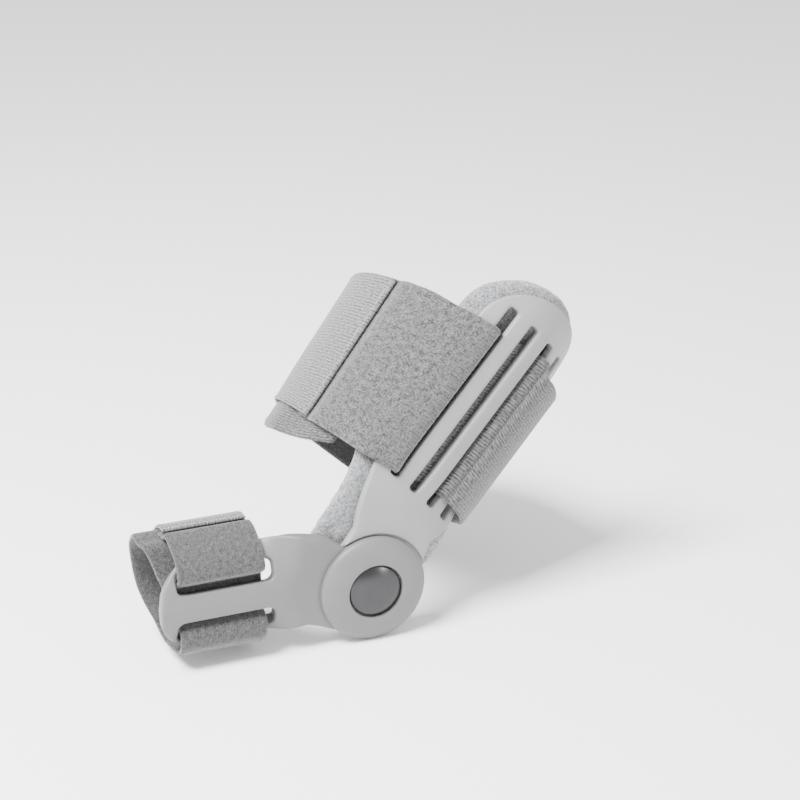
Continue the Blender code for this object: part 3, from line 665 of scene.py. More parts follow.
def stitch_tree() -> GeometryTree:
    """Tree that lays stitches along a line of edges.

    Returns:
        Tree for a polyline mesh.
    """
    made = GeometryTree("stitches", {"Pitch": 2.8 * MM, "Length": 2.1 * MM,
                                     "Thread Radius": 0.18 * MM, "Slant": 0.12})
    sheet = made.sheet
    line = sheet.add("GeometryNodeMeshToCurve", {0: made.source.outputs[0]})
    points = sheet.add("GeometryNodeCurveToPoints", {
        "Curve": line.outputs[0], "Length": made.given("Pitch")}, mode="LENGTH")
    bead = sheet.add("GeometryNodeMeshUVSphere", {"Segments": 8, "Rings": 6, "Radius": 1.0})
    size = sheet.add("ShaderNodeCombineXYZ", {
        0: made.given("Thread Radius"), 1: made.given("Thread Radius"),
        2: sheet.math("MULTIPLY", made.given("Length"), 0.5)})
    shaped = sheet.add("GeometryNodeTransform", {"Geometry": bead.outputs[0],
                                                 "Scale": size.outputs[0]})
    aim = sheet.add("FunctionNodeAlignEulerToVector", {"Vector": points.outputs["Tangent"]},
                    axis="Z")
    tilt = sheet.add("ShaderNodeCombineXYZ", {0: made.given("Slant")})
    turn = sheet.add("FunctionNodeRotateEuler", {
        "Rotation": aim.outputs[0], "Rotate By": tilt.outputs[0]}, space="LOCAL")
    laid = sheet.add("GeometryNodeInstanceOnPoints", {
        "Points": points.outputs["Points"], "Instance": shaped.outputs[0],
        "Rotation": turn.outputs[0]})
    smooth = sheet.add("GeometryNodeSetShadeSmooth", {"Geometry": laid.outputs[0]})
    made.close(smooth.outputs[0])
    return made


def fuzz_tree() -> GeometryTree:
    """Tree that stands short loose fibres on a surface.

    Returns:
        Tree for a mesh whose fuzz attribute says how thick the fibres stand.
    """
    made = GeometryTree("fuzz", {"Density": 1.0e6, "Fibre Length": 0.6 * MM,
                                 "Fibre Radius": 0.03 * MM, "Spread": 0.9, "Seed": 5})
    sheet = made.sheet
    spots = sheet.add("GeometryNodeDistributePointsOnFaces", {
        "Mesh": made.source.outputs[0], "Seed": made.given("Seed"),
        "Density": sheet.math("MULTIPLY", made.given("Density"), made.attribute("fuzz"))},
        distribute_method="RANDOM")
    fibre = sheet.add("GeometryNodeMeshCone", {"Vertices": 3, "Radius Top": 0.25,
                                               "Radius Bottom": 1.0, "Depth": 1.0},
                      fill_type="NONE")
    size = sheet.add("ShaderNodeCombineXYZ", {
        0: made.given("Fibre Radius"), 1: made.given("Fibre Radius"),
        2: made.given("Fibre Length")})
    shaped = sheet.add("GeometryNodeTransform", {"Geometry": fibre.outputs[0],
                                                 "Scale": size.outputs[0]})
    reach = sheet.vector("SCALE", (1.0, 1.0, 3.5), made.given("Spread"))
    tilt = sheet.add("FunctionNodeRandomValue", {
        0: sheet.vector("MULTIPLY", reach, (-1.0, -1.0, -1.0)), 1: reach,
        "Seed": made.given("Seed")}, data_type="FLOAT_VECTOR")
    turn = sheet.add("FunctionNodeRotateEuler", {
        "Rotation": spots.outputs["Rotation"], "Rotate By": tilt.outputs[0]}, space="LOCAL")
    grow = sheet.add("FunctionNodeRandomValue", {2: 0.45, 3: 1.0, "Seed": made.given("Seed")},
                     data_type="FLOAT")
    stand = sheet.add("GeometryNodeInstanceOnPoints", {
        "Points": spots.outputs["Points"], "Instance": shaped.outputs[0],
        "Rotation": turn.outputs[0], "Scale": grow.outputs[1]})
    made.close(stand.outputs[0])
    return made


# Surfaces that the pieces follow


@dataclass(frozen=True)
class SplintSurface:
    """Curved surface that starts at the hinge and wraps the side of the foot."""

    lift: float = math.radians(43.3)
    bend: float = math.radians(9.5)
    bend_start: float = 16.0 * MM
    bend_length: float = 24.0 * MM
    wrap_radius: float = 24.2 * MM
    wrap_crest: float = 12.9 * MM
    wrap_limit: float = math.radians(44.0)

    @property
    def side(self) -> Vector:
        """Direction across the plate, to the instep."""
        return Vector((-math.sin(self.lift), 0.0, math.cos(self.lift)))

    def frame(self, along: float) -> tuple[Vector, Vector, Vector]:
        """Point on the hinge line's continuation, with the directions along it and outwards."""
        axis = Vector((math.cos(self.lift), 0.0, math.sin(self.lift)))
        inward = Vector((0.0, 1.0, 0.0))
        angle = self.bend * min(max((along - self.bend_start) / self.bend_length, 0.0), 1.0)
        radius = self.bend_length / self.bend
        past = max(along - self.bend_start - self.bend_length, 0.0)
        forward = min(along, self.bend_start) + radius * math.sin(angle) + past * math.cos(angle)
        depth = radius * (1 - math.cos(angle)) + past * math.sin(angle)
        direction = axis * math.cos(angle) + inward * math.sin(angle)
        outward = axis * math.sin(angle) - inward * math.cos(angle)
        return axis * forward + inward * depth, direction, outward

    def point(self, along: float, across: float, height: float) -> Vector:
        """Place over the pad's inner face.

        Args:
            along: Distance from the hinge axis along the plate.
            across: Distance from the hinge line, to the instep.
            height: Distance outwards from the pad's inner face.

        Returns:
            The place in world coordinates.
        """
        base, _, outward = self.frame(along)
        side = self.side
        curvature = ease((along - self.bend_start) / self.bend_length) / self.wrap_radius
        length = across - self.wrap_crest
        if curvature < 1e-3:
            return base + side * across + outward * height
        limit = self.wrap_limit / curvature
        turned = min(max(length, -limit), limit)
        angle = curvature * turned
        rest = length - turned
        sideways = math.sin(angle) / curvature + rest * math.cos(angle)
        inwards = (1 - math.cos(angle)) / curvature + rest * math.sin(angle)
        normal = outward * math.cos(angle) + side * math.sin(angle)
        return base + side * (self.wrap_crest + sideways) - outward * inwards + normal * height


@dataclass(frozen=True)
class Stack:
    """Heights over the pad's inner face, built up at the hinge."""

    pad: float = 4.0 * MM
    plate: float = 2.8 * MM
    eye: float = 1.9 * MM
    disc: float = 4.4 * MM
    arm: float = 4.0 * MM
    strap: float = 1.6 * MM
    tab: float = 1.2 * MM

    @property
    def plate_back(self) -> float:
        """Back of the plate."""
        return self.pad + GAP

    @property
    def plate_face(self) -> float:
        """Outer face of the plate."""
        return self.plate_back + self.plate

    @property
    def eye_face(self) -> float:
        """Outer face of the plate's eye, under the disc."""
        return self.plate_back + self.eye

    @property
    def disc_back(self) -> float:
        """Back of the disc."""
        return self.eye_face + GAP

    @property
    def disc_face(self) -> float:
        """Crown of the disc."""
        return self.disc_back + self.disc

    @property
    def arm_back(self) -> float:
        """Back of the toe arm."""
        return self.pad + 0.4 * MM

    @property
    def arm_face(self) -> float:
        """Outer face of the toe arm."""
        return self.arm_back + self.arm

    @property
    def outer(self) -> float:
        """Middle of a strap's outer layer, inwards from the loop's face."""
        return self.strap / 2

    @property
    def lap(self) -> float:
        """Middle of a strap under its tab."""
        return self.tab + GAP + self.strap / 2

    @property
    def under_lap(self) -> float:
        """Middle of a strap under its lapped end."""
        return self.lap + self.strap + GAP


@dataclass(frozen=True)
class SlotRow:
    """Parallel strap slots of the plate, counted from the instep side."""

    count: int = 4
    width: float = 3.0 * MM
    pitch: float = 7.35 * MM
    middle: float = 8.2 * MM
    start: float = 29.1 * MM
    length: float = 62.0 * MM

    def place(self, index: int) -> float:
        """Distance of a slot's middle line from the hinge line."""
        return self.middle + self.pitch * ((self.count - 1) / 2 - index)


# Pieces


@dataclass
class SidePlate:
    """Slotted plate on the side of the foot, with a seat for the arm's disc."""

    surface: SplintSurface
    stack: Stack
    slots: SlotRow
    half_width: float = 18.0 * MM
    offset: float = 7.6 * MM
    length: float = 101.0 * MM
    shoulder: float = 28.0 * MM
    eye_radius: float = 16.4 * MM
    seat_radius: float = 17.6 * MM
    edge: float = 0.75 * MM
    corner: float = 0.7
    bend_cuts: int = 17
    wrap_cuts: int = 24
    cut_shift: float = 0.13 * MM
    finish: MouldedPlastic = MouldedPlastic("plate_light_grey_plastic", grey(0.235, -0.002))

    def outline(self) -> list[Point2]:
        """Points round the plate: far end, instep shoulder, eye and sole side."""
        high = self.offset + self.half_width
        low = self.offset - self.half_width
        end = (self.length - self.half_width, self.offset)
        eye = self.eye_radius
        points = arc(end, self.half_width, -90, 90, 48)
        points += [tuple(p) for p in smooth_through(
            [(self.shoulder, high), (0.72 * self.shoulder, high - 0.08 * self.half_width),
             (0.52 * self.shoulder, high - 0.23 * self.half_width),
             (0.61 * eye, 1.11 * eye)], 8)]
        points += arc((0, 0), eye, 112, 330, 60)
        points += [tuple(p) for p in smooth_through(
            [(1.30 * eye, 0.50 * low), (1.75 * eye, 0.72 * low), (2.25 * eye, 0.95 * low),
             (2.9 * eye, low)], 8)]
        return points

    def build(self) -> bpy.types.Object:
        """Make the plate, cut its seat and bore, and give it its plastic."""
        half = self.slots.width / 2
        start, end = self.slots.start, self.slots.start + self.slots.length
        holes = [rounded_slot(start, end, self.slots.place(i) - half, self.slots.place(i) + half,
                              self.corner * half) for i in range(self.slots.count)]
        bend = self.surface.bend_start
        along = list(np.linspace(bend, bend + self.surface.bend_length, self.bend_cuts))
        low, high = self.offset - self.half_width, self.offset + self.half_width
        across = list(np.linspace(low, high, self.wrap_cuts)[1:-1] + self.cut_shift)
        mesh = flat_plate(self.outline(), holes, self.stack.plate, self.edge, along, across)
        bend_mesh(mesh, lambda x, y, z: self.surface.point(x, y, self.stack.plate_back + z))
        plate = link_mesh("side_plate", mesh)
        seat = hinge_cylinder("seat", self.seat_radius, self.stack.eye_face, ABOVE_ALL)
        combine(plate, seat, "DIFFERENCE")
        combine(plate, hinge_cylinder("bore", BORE_RADIUS, 0.0, ABOVE_ALL), "DIFFERENCE")
        shade(plate, CORNER)
        cover(plate, self.finish.material())
        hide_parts("splint_plate")
        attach(plate, Body.SPLINT.value)
        return plate


@dataclass
class ToeArm:
    """Arm beside the big toe: two openings round a bar, a dipped neck and a domed disc."""

    stack: Stack
    length: float = 65.9 * MM
    crest: float = 4.2 * MM
    top: float = 18.6 * MM
    bottom: float = 15.0 * MM
    wrap_radius: float = 20.0 * MM
    wrap_start: float = 22.0 * MM
    wrap_length: float = 12.0 * MM
    edge: float = 0.75 * MM
    valley: float = 1.2 * MM
    disc_radius: float = 16.7 * MM
    dome: float = 2.7 * MM
    recess_radius: float = 8.65 * MM
    lip: float = 0.35 * MM
    pocket_radius: float = 21.4 * MM
    bar: float = 9.1 * MM
    opening: float = 7.4 * MM
    opening_start: float = 31.0 * MM
    opening_length: float = 29.7 * MM
    rounding: float = 2.3 * MM
    neck: tuple[float, float] = (15.0 * MM, 35.0 * MM)
    finish: MouldedPlastic = MouldedPlastic("arm_mid_grey_plastic", grey(0.13, -0.002))
    upper_edge: tuple[Point2, ...] = (
        (0.105, 0.480), (0.182, 0.700), (0.237, 0.805), (0.293, 0.870), (0.350, 0.915),
        (0.486, 0.965), (0.683, 0.965), (0.810, 0.900), (0.886, 0.800), (0.939, 0.625),
        (0.983, 0.350), (1.000, 0.000))
    lower_edge: tuple[Point2, ...] = (
        (1.000, 0.000), (0.990, 0.430), (0.950, 0.760), (0.880, 0.950), (0.760, 1.030),
        (0.600, 1.050), (0.486, 0.990), (0.334, 0.850), (0.267, 0.930), (0.190, 1.080),
        (0.140, 1.130))

    def point(self, along: float, across: float, height: float) -> Vector:
        """Place over the arm's back: towards the toes, up, and outwards."""
        away = math.hypot(along, across)
        dip = self.valley * (1 - ease((away - 18.5 * MM) / (10.0 * MM)))
        height *= 1 - dip / self.stack.arm
        curvature = ease((along - self.wrap_start) / self.wrap_length) / self.wrap_radius
        if curvature < 1e-3:
            return Vector((-along, -(self.stack.arm_back + height), across))
        radius = 1 / curvature
        angle = curvature * (across - self.crest)
        reach = radius - self.stack.arm + height
        depth = self.stack.arm_face - radius + reach * math.cos(angle)
        return Vector((-along, -depth, self.crest + reach * math.sin(angle)))

    def outline(self) -> list[Point2]:
        """Points round the arm, closed inside the disc."""
        upper = [(self.length * x, self.crest + self.top * y) for x, y in self.upper_edge]
        lower = [(self.length * x, self.crest - self.bottom * y) for x, y in self.lower_edge]
        inner = arc((0, 0), 0.838 * self.disc_radius, -58, 62, 24)
        edges = smooth_through(upper, 7)[:-1] + smooth_through(lower, 7)
        return [tuple(p) for p in edges] + inner

    def openings(self) -> tuple[tuple[float, float], tuple[float, float]]:
        """Limits of the upper and lower opening across the arm."""
        half = self.bar / 2
        return ((self.crest + half, self.crest + half + self.opening),
                (self.crest - half - self.opening, self.crest - half))

    def disc_profile(self) -> list[Point2]:
        """Half section of the disc with its recess and bore."""
        face, back = self.stack.disc_face, self.stack.disc_back
        floor = face - RECESS_DEPTH
        wall = self.recess_radius
        brink = wall + self.lip
        rows = [(BORE_RADIUS, floor), (wall, floor), (wall, face - self.lip),
                (wall + 0.1 * MM, face - 0.1 * MM)]
        for angle in np.linspace(0.0, math.pi / 2, 28):
            rows.append((brink + (self.disc_radius - brink) * math.sin(angle),
                         face - self.dome * (1 - math.cos(angle) ** 1.15)))
        return rows + [(self.disc_radius, back), (BORE_RADIUS, back)]

    def build(self) -> bpy.types.Object:
        """Make the arm with its disc and give it its plastic."""
        holes = [rounded_slot(self.opening_start, self.opening_start + self.opening_length,
                              low, high, self.rounding) for low, high in self.openings()]
        neck, grip = self.neck
        along = list(np.linspace(neck, grip, 18) + 0.07 * MM)
        low, high = self.crest - self.bottom, self.crest + self.top
        across = list(np.linspace(low, high, 26)[1:-1] + 0.11 * MM)
        mesh = flat_plate(self.outline(), holes, self.stack.arm, self.edge, along, across)
        bend_mesh(mesh, self.point)
        arm = link_mesh("toe_arm_moulding", mesh)
        pocket = hinge_cylinder("pocket", self.pocket_radius, 0.0, self.stack.disc_back + 0.1 * MM)
        combine(arm, pocket, "DIFFERENCE")
        disc = link_mesh("disc", turned_mesh("disc", self.disc_profile(), 128))
        combine(arm, disc, "UNION")
        shade(arm, CORNER)
        cover(arm, self.finish.material())
        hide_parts("toe_arm")
        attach(arm, Body.TOE_ARM.value)
        return arm


@dataclass
class HingeRivet:
    """Domed steel rivet in the disc's recess."""

    stack: Stack
    radius: float = 8.2 * MM
    crown: float = 1.5 * MM
    rim: float = 0.7 * MM
    shaft_radius: float = 3.0 * MM
    tail_radius: float = 4.6 * MM
    tail_thickness: float = 0.7 * MM
    finish: TurnedSteel = TurnedSteel()

    def build(self) -> bpy.types.Object:
        """Turn the rivet and give it its steel."""
        floor = self.stack.disc_face - RECESS_DEPTH + GAP
        top = floor + self.rim
        dome = (self.radius**2 + self.crown**2) / (2 * self.crown)
        half = math.asin(self.radius / dome)
        back = self.stack.plate_back + GAP
        rows = [(dome * math.sin(a), top + self.crown - dome * (1 - math.cos(a)))
                for a in np.linspace(0.0, half * 0.97, 24)]
        tail = back + self.tail_thickness
        rows += [(self.radius, top - 0.1 * MM), (self.radius, floor), (self.shaft_radius, floor),
                 (self.shaft_radius, tail), (self.tail_radius, tail), (self.tail_radius, back),
                 (0.0, back)]
        rivet = link_mesh("rivet_head", turned_mesh("rivet_head", rows, 96))
        shade(rivet, 30.0)
        cover(rivet, self.finish.material())
        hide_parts("hinge_rivet")
        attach(rivet, Body.SPLINT.value)
        return rivet


@dataclass
class FoamPad:
    """Terry-covered foam pad that swells beyond the plate's rim."""

    surface: SplintSurface
    stack: Stack
    plate: SidePlate
    rim: float = 6.2 * MM
    end_rim: float = 3.6 * MM
    nose_radius: float = 19.0 * MM
    nose_ahead: float = 5.0 * MM
    shoulder: float = 30.0 * MM
    waist: float = 21.0 * MM
    hip: float = 34.5 * MM
    channel_rim: float = 2.4 * MM
    edge: float = 1.5 * MM
    span_along: tuple[float, float] = (-12.0 * MM, 104.0 * MM)
    span_across: tuple[float, float] = (-15.0 * MM, 31.0 * MM)
    voxel: float = 1.5 * MM
    swell: float = 1.1 * MM
    margin: float = 1.0 * MM
    foot_side: float = 1.2 * MM
    finish: TerryCloth = TerryCloth()

    def outline(self) -> list[Point2]:
        """Points round the pad."""
        half = self.plate.half_width + self.rim
        offset = self.plate.offset
        end = (self.plate.length - self.plate.half_width, offset)
        reach = (self.plate.half_width + self.end_rim) / half
        points = [(end[0] + (x - end[0]) * reach, y) for x, y in arc(end, half, -90, 90, 48)]
        points += [(self.shoulder, offset + half)]
        points += arc((self.nose_ahead, offset), self.nose_radius, 99, 261, 44)
        points += [(self.waist, offset - 1.03 * self.nose_radius), (self.hip, offset - half)]
        return points

    def press(self, x: float, y: float) -> float:
        """How far the strap presses the pad in, behind the plate's bars."""
        rim = self.channel_rim
        slots = self.plate.slots
        low, high = slots.place(2) - slots.width, slots.place(0) + slots.width
        inside = min((x - slots.start + rim) / rim, (slots.start + slots.length - x) / rim,
                     (y - low) / rim, (high - y) / rim)
        return (self.stack.strap + GAP) * ease(inside)

    def swollen(self, pad: bpy.types.Object, held: set[int]) -> None:
        """Blow the pad up with a cloth simulation and cap how far each point moves.

        Args:
            pad: Pad as a voxel mesh.
            held: Points that the plate and the foot keep where they are.
        """
        before = [v.co.copy() for v in pad.data.vertices]
        group = pad.vertex_groups.new(name="held")
        group.add(sorted(held), 1.0, "REPLACE")
        cloth = pad.modifiers.new("swell", "CLOTH")
        cloth.settings.use_pressure = True
        cloth.settings.uniform_pressure_force = 4.0
        cloth.settings.vertex_group_mass = "held"
        cloth.settings.effector_weights.gravity = 0.0
        cloth.settings.quality = 4
        cloth.point_cache.frame_start = 1
        cloth.point_cache.frame_end = 20
        scene = bpy.context.scene
        for frame in range(1, 21):
            scene.frame_set(frame)
        settle(pad)
        scene.frame_set(1)
        for vert, start in zip(pad.data.vertices, before):
            step = vert.co - start
            if step.length > self.swell:
                vert.co = start + step * (self.swell / step.length)

    def build(self, fuzz: GeometryTree) -> list[bpy.types.Object]:
        """Make the pad, swell it, and stand loose fibres on it."""
        along = list(np.linspace(*self.span_along, 60))
        across = list(np.linspace(*self.span_across, 24))
        mesh = flat_plate(self.outline(), [], self.stack.pad, self.edge, along, across)

        def place(x: float, y: float, z: float) -> Vector:
            """Bend the pad and press its channel."""
            return self.surface.point(x, y, z - self.press(x, y) * z / self.stack.pad)

        bend_mesh(mesh, place)
        pad = link_mesh("foam_pad", mesh)
        remesh = pad.modifiers.new("remesh", "REMESH")
        remesh.mode = "VOXEL"
        remesh.voxel_size = self.voxel
        settle(pad)
        self.swollen(pad, self.pinned(pad))
        smooth = pad.modifiers.new("relax", "SMOOTH")
        smooth.factor = 0.5
        smooth.iterations = 2
        refine = pad.modifiers.new("refine", "SUBSURF")
        refine.levels = 1
        refine.render_levels = 1
        settle(pad)
        self.keep_clear(pad)
        pad.data.shade_smooth()
        cloth = self.finish.material()
        cover(pad, cloth)
        pile = self.pile(pad, fuzz, cloth)
        for piece in (pad, pile):
            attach(piece, Body.SPLINT.value)
        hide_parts("pad")
        return [pad, pile]

    def locate(self, place: Vector) -> tuple[float, float, float]:
        """Rough distance along, across and outwards of a place near the pad."""
        _, ahead, _ = self.surface.frame(0.0)
        along = max(place.dot(ahead), 0)
        for _ in range(3):
            base, direction, _ = self.surface.frame(along)
            along += (place - base).dot(direction)
        base, _, outward = self.surface.frame(along)
        side = self.surface.side
        radius = self.surface.wrap_radius
        curvature = ease((along - self.surface.bend_start) / self.surface.bend_length) / radius
        sideways = (place - base).dot(side) - self.surface.wrap_crest
        out = (place - base).dot(outward)
        if curvature < 2.0:
            return along, sideways + self.surface.wrap_crest, out
        depth = out + 1 / curvature
        angle = math.atan2(sideways, depth)
        height = math.hypot(sideways, depth) - 1 / curvature
        return along, self.surface.wrap_crest + angle / curvature, height

    def under_plate(self, along: float, across: float, margin: float) -> bool:
        """Whether a place lies behind the plate or within a margin of its sides."""
        aside = abs(across - self.plate.offset)
        return aside < self.plate.half_width + margin and along < self.plate.length

    def pinned(self, pad: bpy.types.Object) -> set[int]:
        """Points under the plate and strap, and those on the foot's side."""
        held = set()
        for vert in pad.data.vertices:
            along, across, height = self.locate(vert.co)
            if height < self.foot_side or self.under_plate(along, across, self.margin):
                held.add(vert.index)
        return held

    def keep_clear(self, pad: bpy.types.Object) -> None:
        """Push points that rise past the plate's back down again."""
        for vert in pad.data.vertices:
            along, across, height = self.locate(vert.co)
            if not self.under_plate(along, across, self.margin):
                continue
            limit = self.stack.pad - self.press(along, across) - 0.02 * MM
            if height > limit:
                vert.co = self.surface.point(along, across, limit)

    def pile(self, pad: bpy.types.Object, fuzz: GeometryTree,
             cloth: bpy.types.Material) -> bpy.types.Object:
        """Loose terry fibres on the pad's open faces."""
        pile = link_mesh("pad_pile", pad.data.copy())
        stand = pile.data.attributes.new("fuzz", "FLOAT", "POINT")
        for vert in pile.data.vertices:
            along, across, _ = self.locate(vert.co)
            covered = self.under_plate(along, across, 0.4 * MM)
            stand.data[vert.index].value = 0.0 if covered else 1.0
        fuzz.run(pile, Density=2.6e6, Fibre_Length=0.62 * MM, Fibre_Radius=0.035 * MM,
                 Spread=0.85, Seed=11, Material=cloth)
        return pile


@dataclass
class FootLoop:
    """Loop that the foot strap makes round the instep, the sole and the plate."""

    surface: SplintSurface
    stack: Stack
    slots: SlotRow
    width: float = 53.0 * MM
    start: float = 30.0 * MM
    height: float = 31.5 * MM
    depth: float = 35.5 * MM
    flare: float = 1.09
    squareness: float = 2.15
    front: float = 8.8 * MM
    narrowing: float = 0.94

    def point(self, row: Row, share: float) -> Vector:
        """Place of a route's row at a share of the strap's width."""
        kind, first, second, shift = row
        width = self.width * (self.narrowing if kind == "free" else 1.0)
        along = self.start + width * (share + shift)
        if kind == "plate":
            return self.surface.point(along, first, second)
        origin = self.surface.point(along, self.surface.wrap_crest, 0.0)
        _, _, outward = self.surface.frame(along)
        side = self.surface.side
        if kind == "free":
            return origin + side * first - outward * second
        flare = 1 + (self.flare - 1) * (along - self.start) / self.width
        turn = math.radians(first)
        power = 2 / self.squareness
        sine = math.copysign(abs(math.sin(turn)) ** power, math.sin(turn))
        cosine = math.copysign(abs(math.cos(turn)) ** power, math.cos(turn))
        middle = self.depth * flare - self.front
        return (origin + side * ((self.height * flare - second) * sine)
                - outward * (middle - (self.depth * flare - second) * cosine))

    def route(self) -> list[Row]:
        """Rows of the strap, from its hidden end to its lapped end."""
        stack, slots = self.stack, self.slots
        first, third = slots.place(0), slots.place(2)
        behind = stack.plate_back - GAP - stack.strap / 2
        over = stack.plate_face + GAP + stack.strap / 2
        through = (stack.plate_back + stack.plate_face) / 2
        step = 1.1 * stack.strap
        reach = self.height
        lap, under = stack.lap, stack.under_lap
        rows: list[Row] = [("loop", 54, under, -0.094), ("loop", 70, under, -0.179),
                           ("loop", 86, under, -0.245)]
        rows += [("loop", angle, lap, shift) for angle, shift in (
            (98, -0.292), (112, -0.311), (130, -0.283), (150, -0.236), (180, -0.189),
            (210, -0.151), (235, -0.109), (258, -0.057))]
        rows += [("free", a * reach, b * reach, shift) for a, b, shift in (
            (-0.960, 0.560, 0.0), (-0.990, 0.290, 0.028), (-0.920, 0.110, 0.042),
            (-0.790, -0.035, 0.053), (-0.640, -0.145, 0.060), (-0.480, -0.215, 0.066))]
        rows += [("plate", third - 1.3 * step, over + 0.15 * step, 0.068),
                 ("plate", third - 0.2 * step, over - 0.35 * step, 0.068),
                 ("plate", third, through, 0.066),
                 ("plate", third + 0.2 * step, behind + 0.45 * step, 0.064),
                 ("plate", third + 1.2 * step, behind, 0.060),
                 ("plate", third + 3.0 * step, behind, 0.049),
                 ("plate", (first + third) / 2, behind, 0.034),
                 ("plate", first - 3.0 * step, behind, 0.019),
                 ("plate", first - 1.2 * step, behind, 0.008),
                 ("plate", first - 0.2 * step, behind + 0.45 * step, 0.004),
                 ("plate", first, through, 0.0),
                 ("plate", first + 0.2 * step, over - 0.4 * step, -0.002),
                 ("plate", first + 1.1 * step, over + 0.1 * step, -0.004),
                 ("plate", first + 2.6 * step, over, -0.011),
                 ("plate", first + 4.3 * step, over, -0.023),
                 ("plate", first + 6.2 * step, over - 0.3 * step, -0.038)]
        rows += [("loop", angle, stack.outer, shift) for angle, shift in (
            (54, -0.053), (64, -0.068), (70, -0.075))]
        rows += [("loop", angle, lap, shift) for angle, shift in (
            (75.5, -0.081), (80, -0.085), (86, -0.091))]
        return rows

    def tab_route(self) -> list[Row]:
        """Rows of the hook tab, from its seam on."""
        level = self.stack.tab / 2
        rows: list[Row] = [("loop", 76.4, level, -0.0825), ("loop", 82, level, -0.087),
                           ("loop", 88, level, -0.093)]
        rows += [("loop", angle, level, -0.102 - 0.00094 * (angle - 98))
                 for angle in (98, 110, 122, 134, 146, 158)]
        return rows


@dataclass
class ToeLoop:
    """Loop that the toe strap makes round the big toe and through the arm's openings."""

    arm: ToeArm
    stack: Stack
    width: float = 26.6 * MM
    start: float = 33.6 * MM
    height: float = 19.4 * MM
    depth: float = 15.0 * MM
    front: float = 8.7 * MM
    rise: float = 5.5 * MM
    taper: float = 0.16

    def point(self, row: Row, share: float) -> Vector:
        """Place of a route's row at a share of the strap's width."""
        kind, first, second, shift = row
        along = self.start + self.width * (share + shift)
        kept = 1 - self.taper * (along - self.start) / self.width
        if kind == "arm":
            return self.arm.point(along, first, second)
        if kind == "free":
            clear = ease(0.9 + 2 * first / self.depth)
            return Vector((-along, first, second * (1 - clear * (1 - kept))))
        turn = math.radians(first)
        lift = (self.height - second) * math.sin(turn)
        if lift < 0:
            lift *= kept
        depth = self.depth - self.front - (self.depth - second) * math.cos(turn)
        return Vector((-along, depth, self.rise + lift))

    def route(self) -> list[Row]:
        """Rows of the strap, from its end behind the arm to its lapped end."""
        stack, arm = self.stack, self.arm
        upper, lower = arm.openings()
        leave = (upper[0] + upper[1]) / 2
        enter = (lower[0] + lower[1]) / 2 + 0.1 * arm.opening
        behind = -(GAP + stack.strap / 2)
        under = behind - stack.strap - GAP
        over = stack.arm + GAP + stack.strap / 2
        step = stack.strap
        lap, deepest = stack.lap, stack.under_lap
        rows: list[Row] = [("arm", arm.crest + 0.3 * arm.top, under, 0.113),
                           ("arm", arm.crest + 0.5 * arm.top, under, 0.132),
                           ("arm", arm.crest + 0.7 * arm.top, 1.08 * under, 0.158),
                           ("loop", 67, deepest + 2.0 * step, 0.207),
                           ("loop", 81, deepest + 0.35 * step, 0.263),
                           ("loop", 96, deepest, 0.301)]
        rows += [("loop", angle, lap, shift) for angle, shift in (
            (108, 0.316), (124, 0.316), (145, 0.301), (170, 0.263), (195, 0.226), (220, 0.169),
            (245, 0.113))]
        rows += [("free", a * self.depth, b * self.height, shift) for a, b, shift in (
            (0.400, -0.665, 0.075), (0.120, -0.700, 0.053), (-0.130, -0.665, 0.030),
            (-0.350, -0.560, 0.015), (-0.500, -0.410, 0.008))]
        rows += [("arm", place, height, 0.0) for place, height in (
            (enter - 0.5 * step, over - 0.35 * step), (enter, 0.5 * stack.arm),
            (enter + 0.4 * step, 0.35 * behind), (enter + 1.4 * step, behind),
            (lower[1] + step, behind), (arm.crest, behind), (upper[0] - step, behind),
            (leave - 1.4 * step, behind), (leave - 0.4 * step, 0.35 * behind),
            (leave, 0.5 * stack.arm), (leave + 0.5 * step, over - 0.35 * step),
            (upper[1] + 0.3 * step, over + 0.1 * step), (upper[1] + 2.2 * step, over + 0.1 * step))]
        rows += [("arm", arm.crest + arm.top, over, 0.011)]
        rows += [("loop", 70, stack.outer, 0.023), ("loop", 77, stack.outer, 0.034)]
        rows += [("loop", 83, lap, 0.041), ("loop", 89, lap, 0.045), ("loop", 98, lap, 0.053)]
        return rows

    def tab_route(self) -> list[Row]:
        """Rows of the hook tab."""
        return [("loop", angle, self.stack.tab / 2, 0.045)
                for angle in (85, 92, 100, 110, 120, 132, 144, 156)]


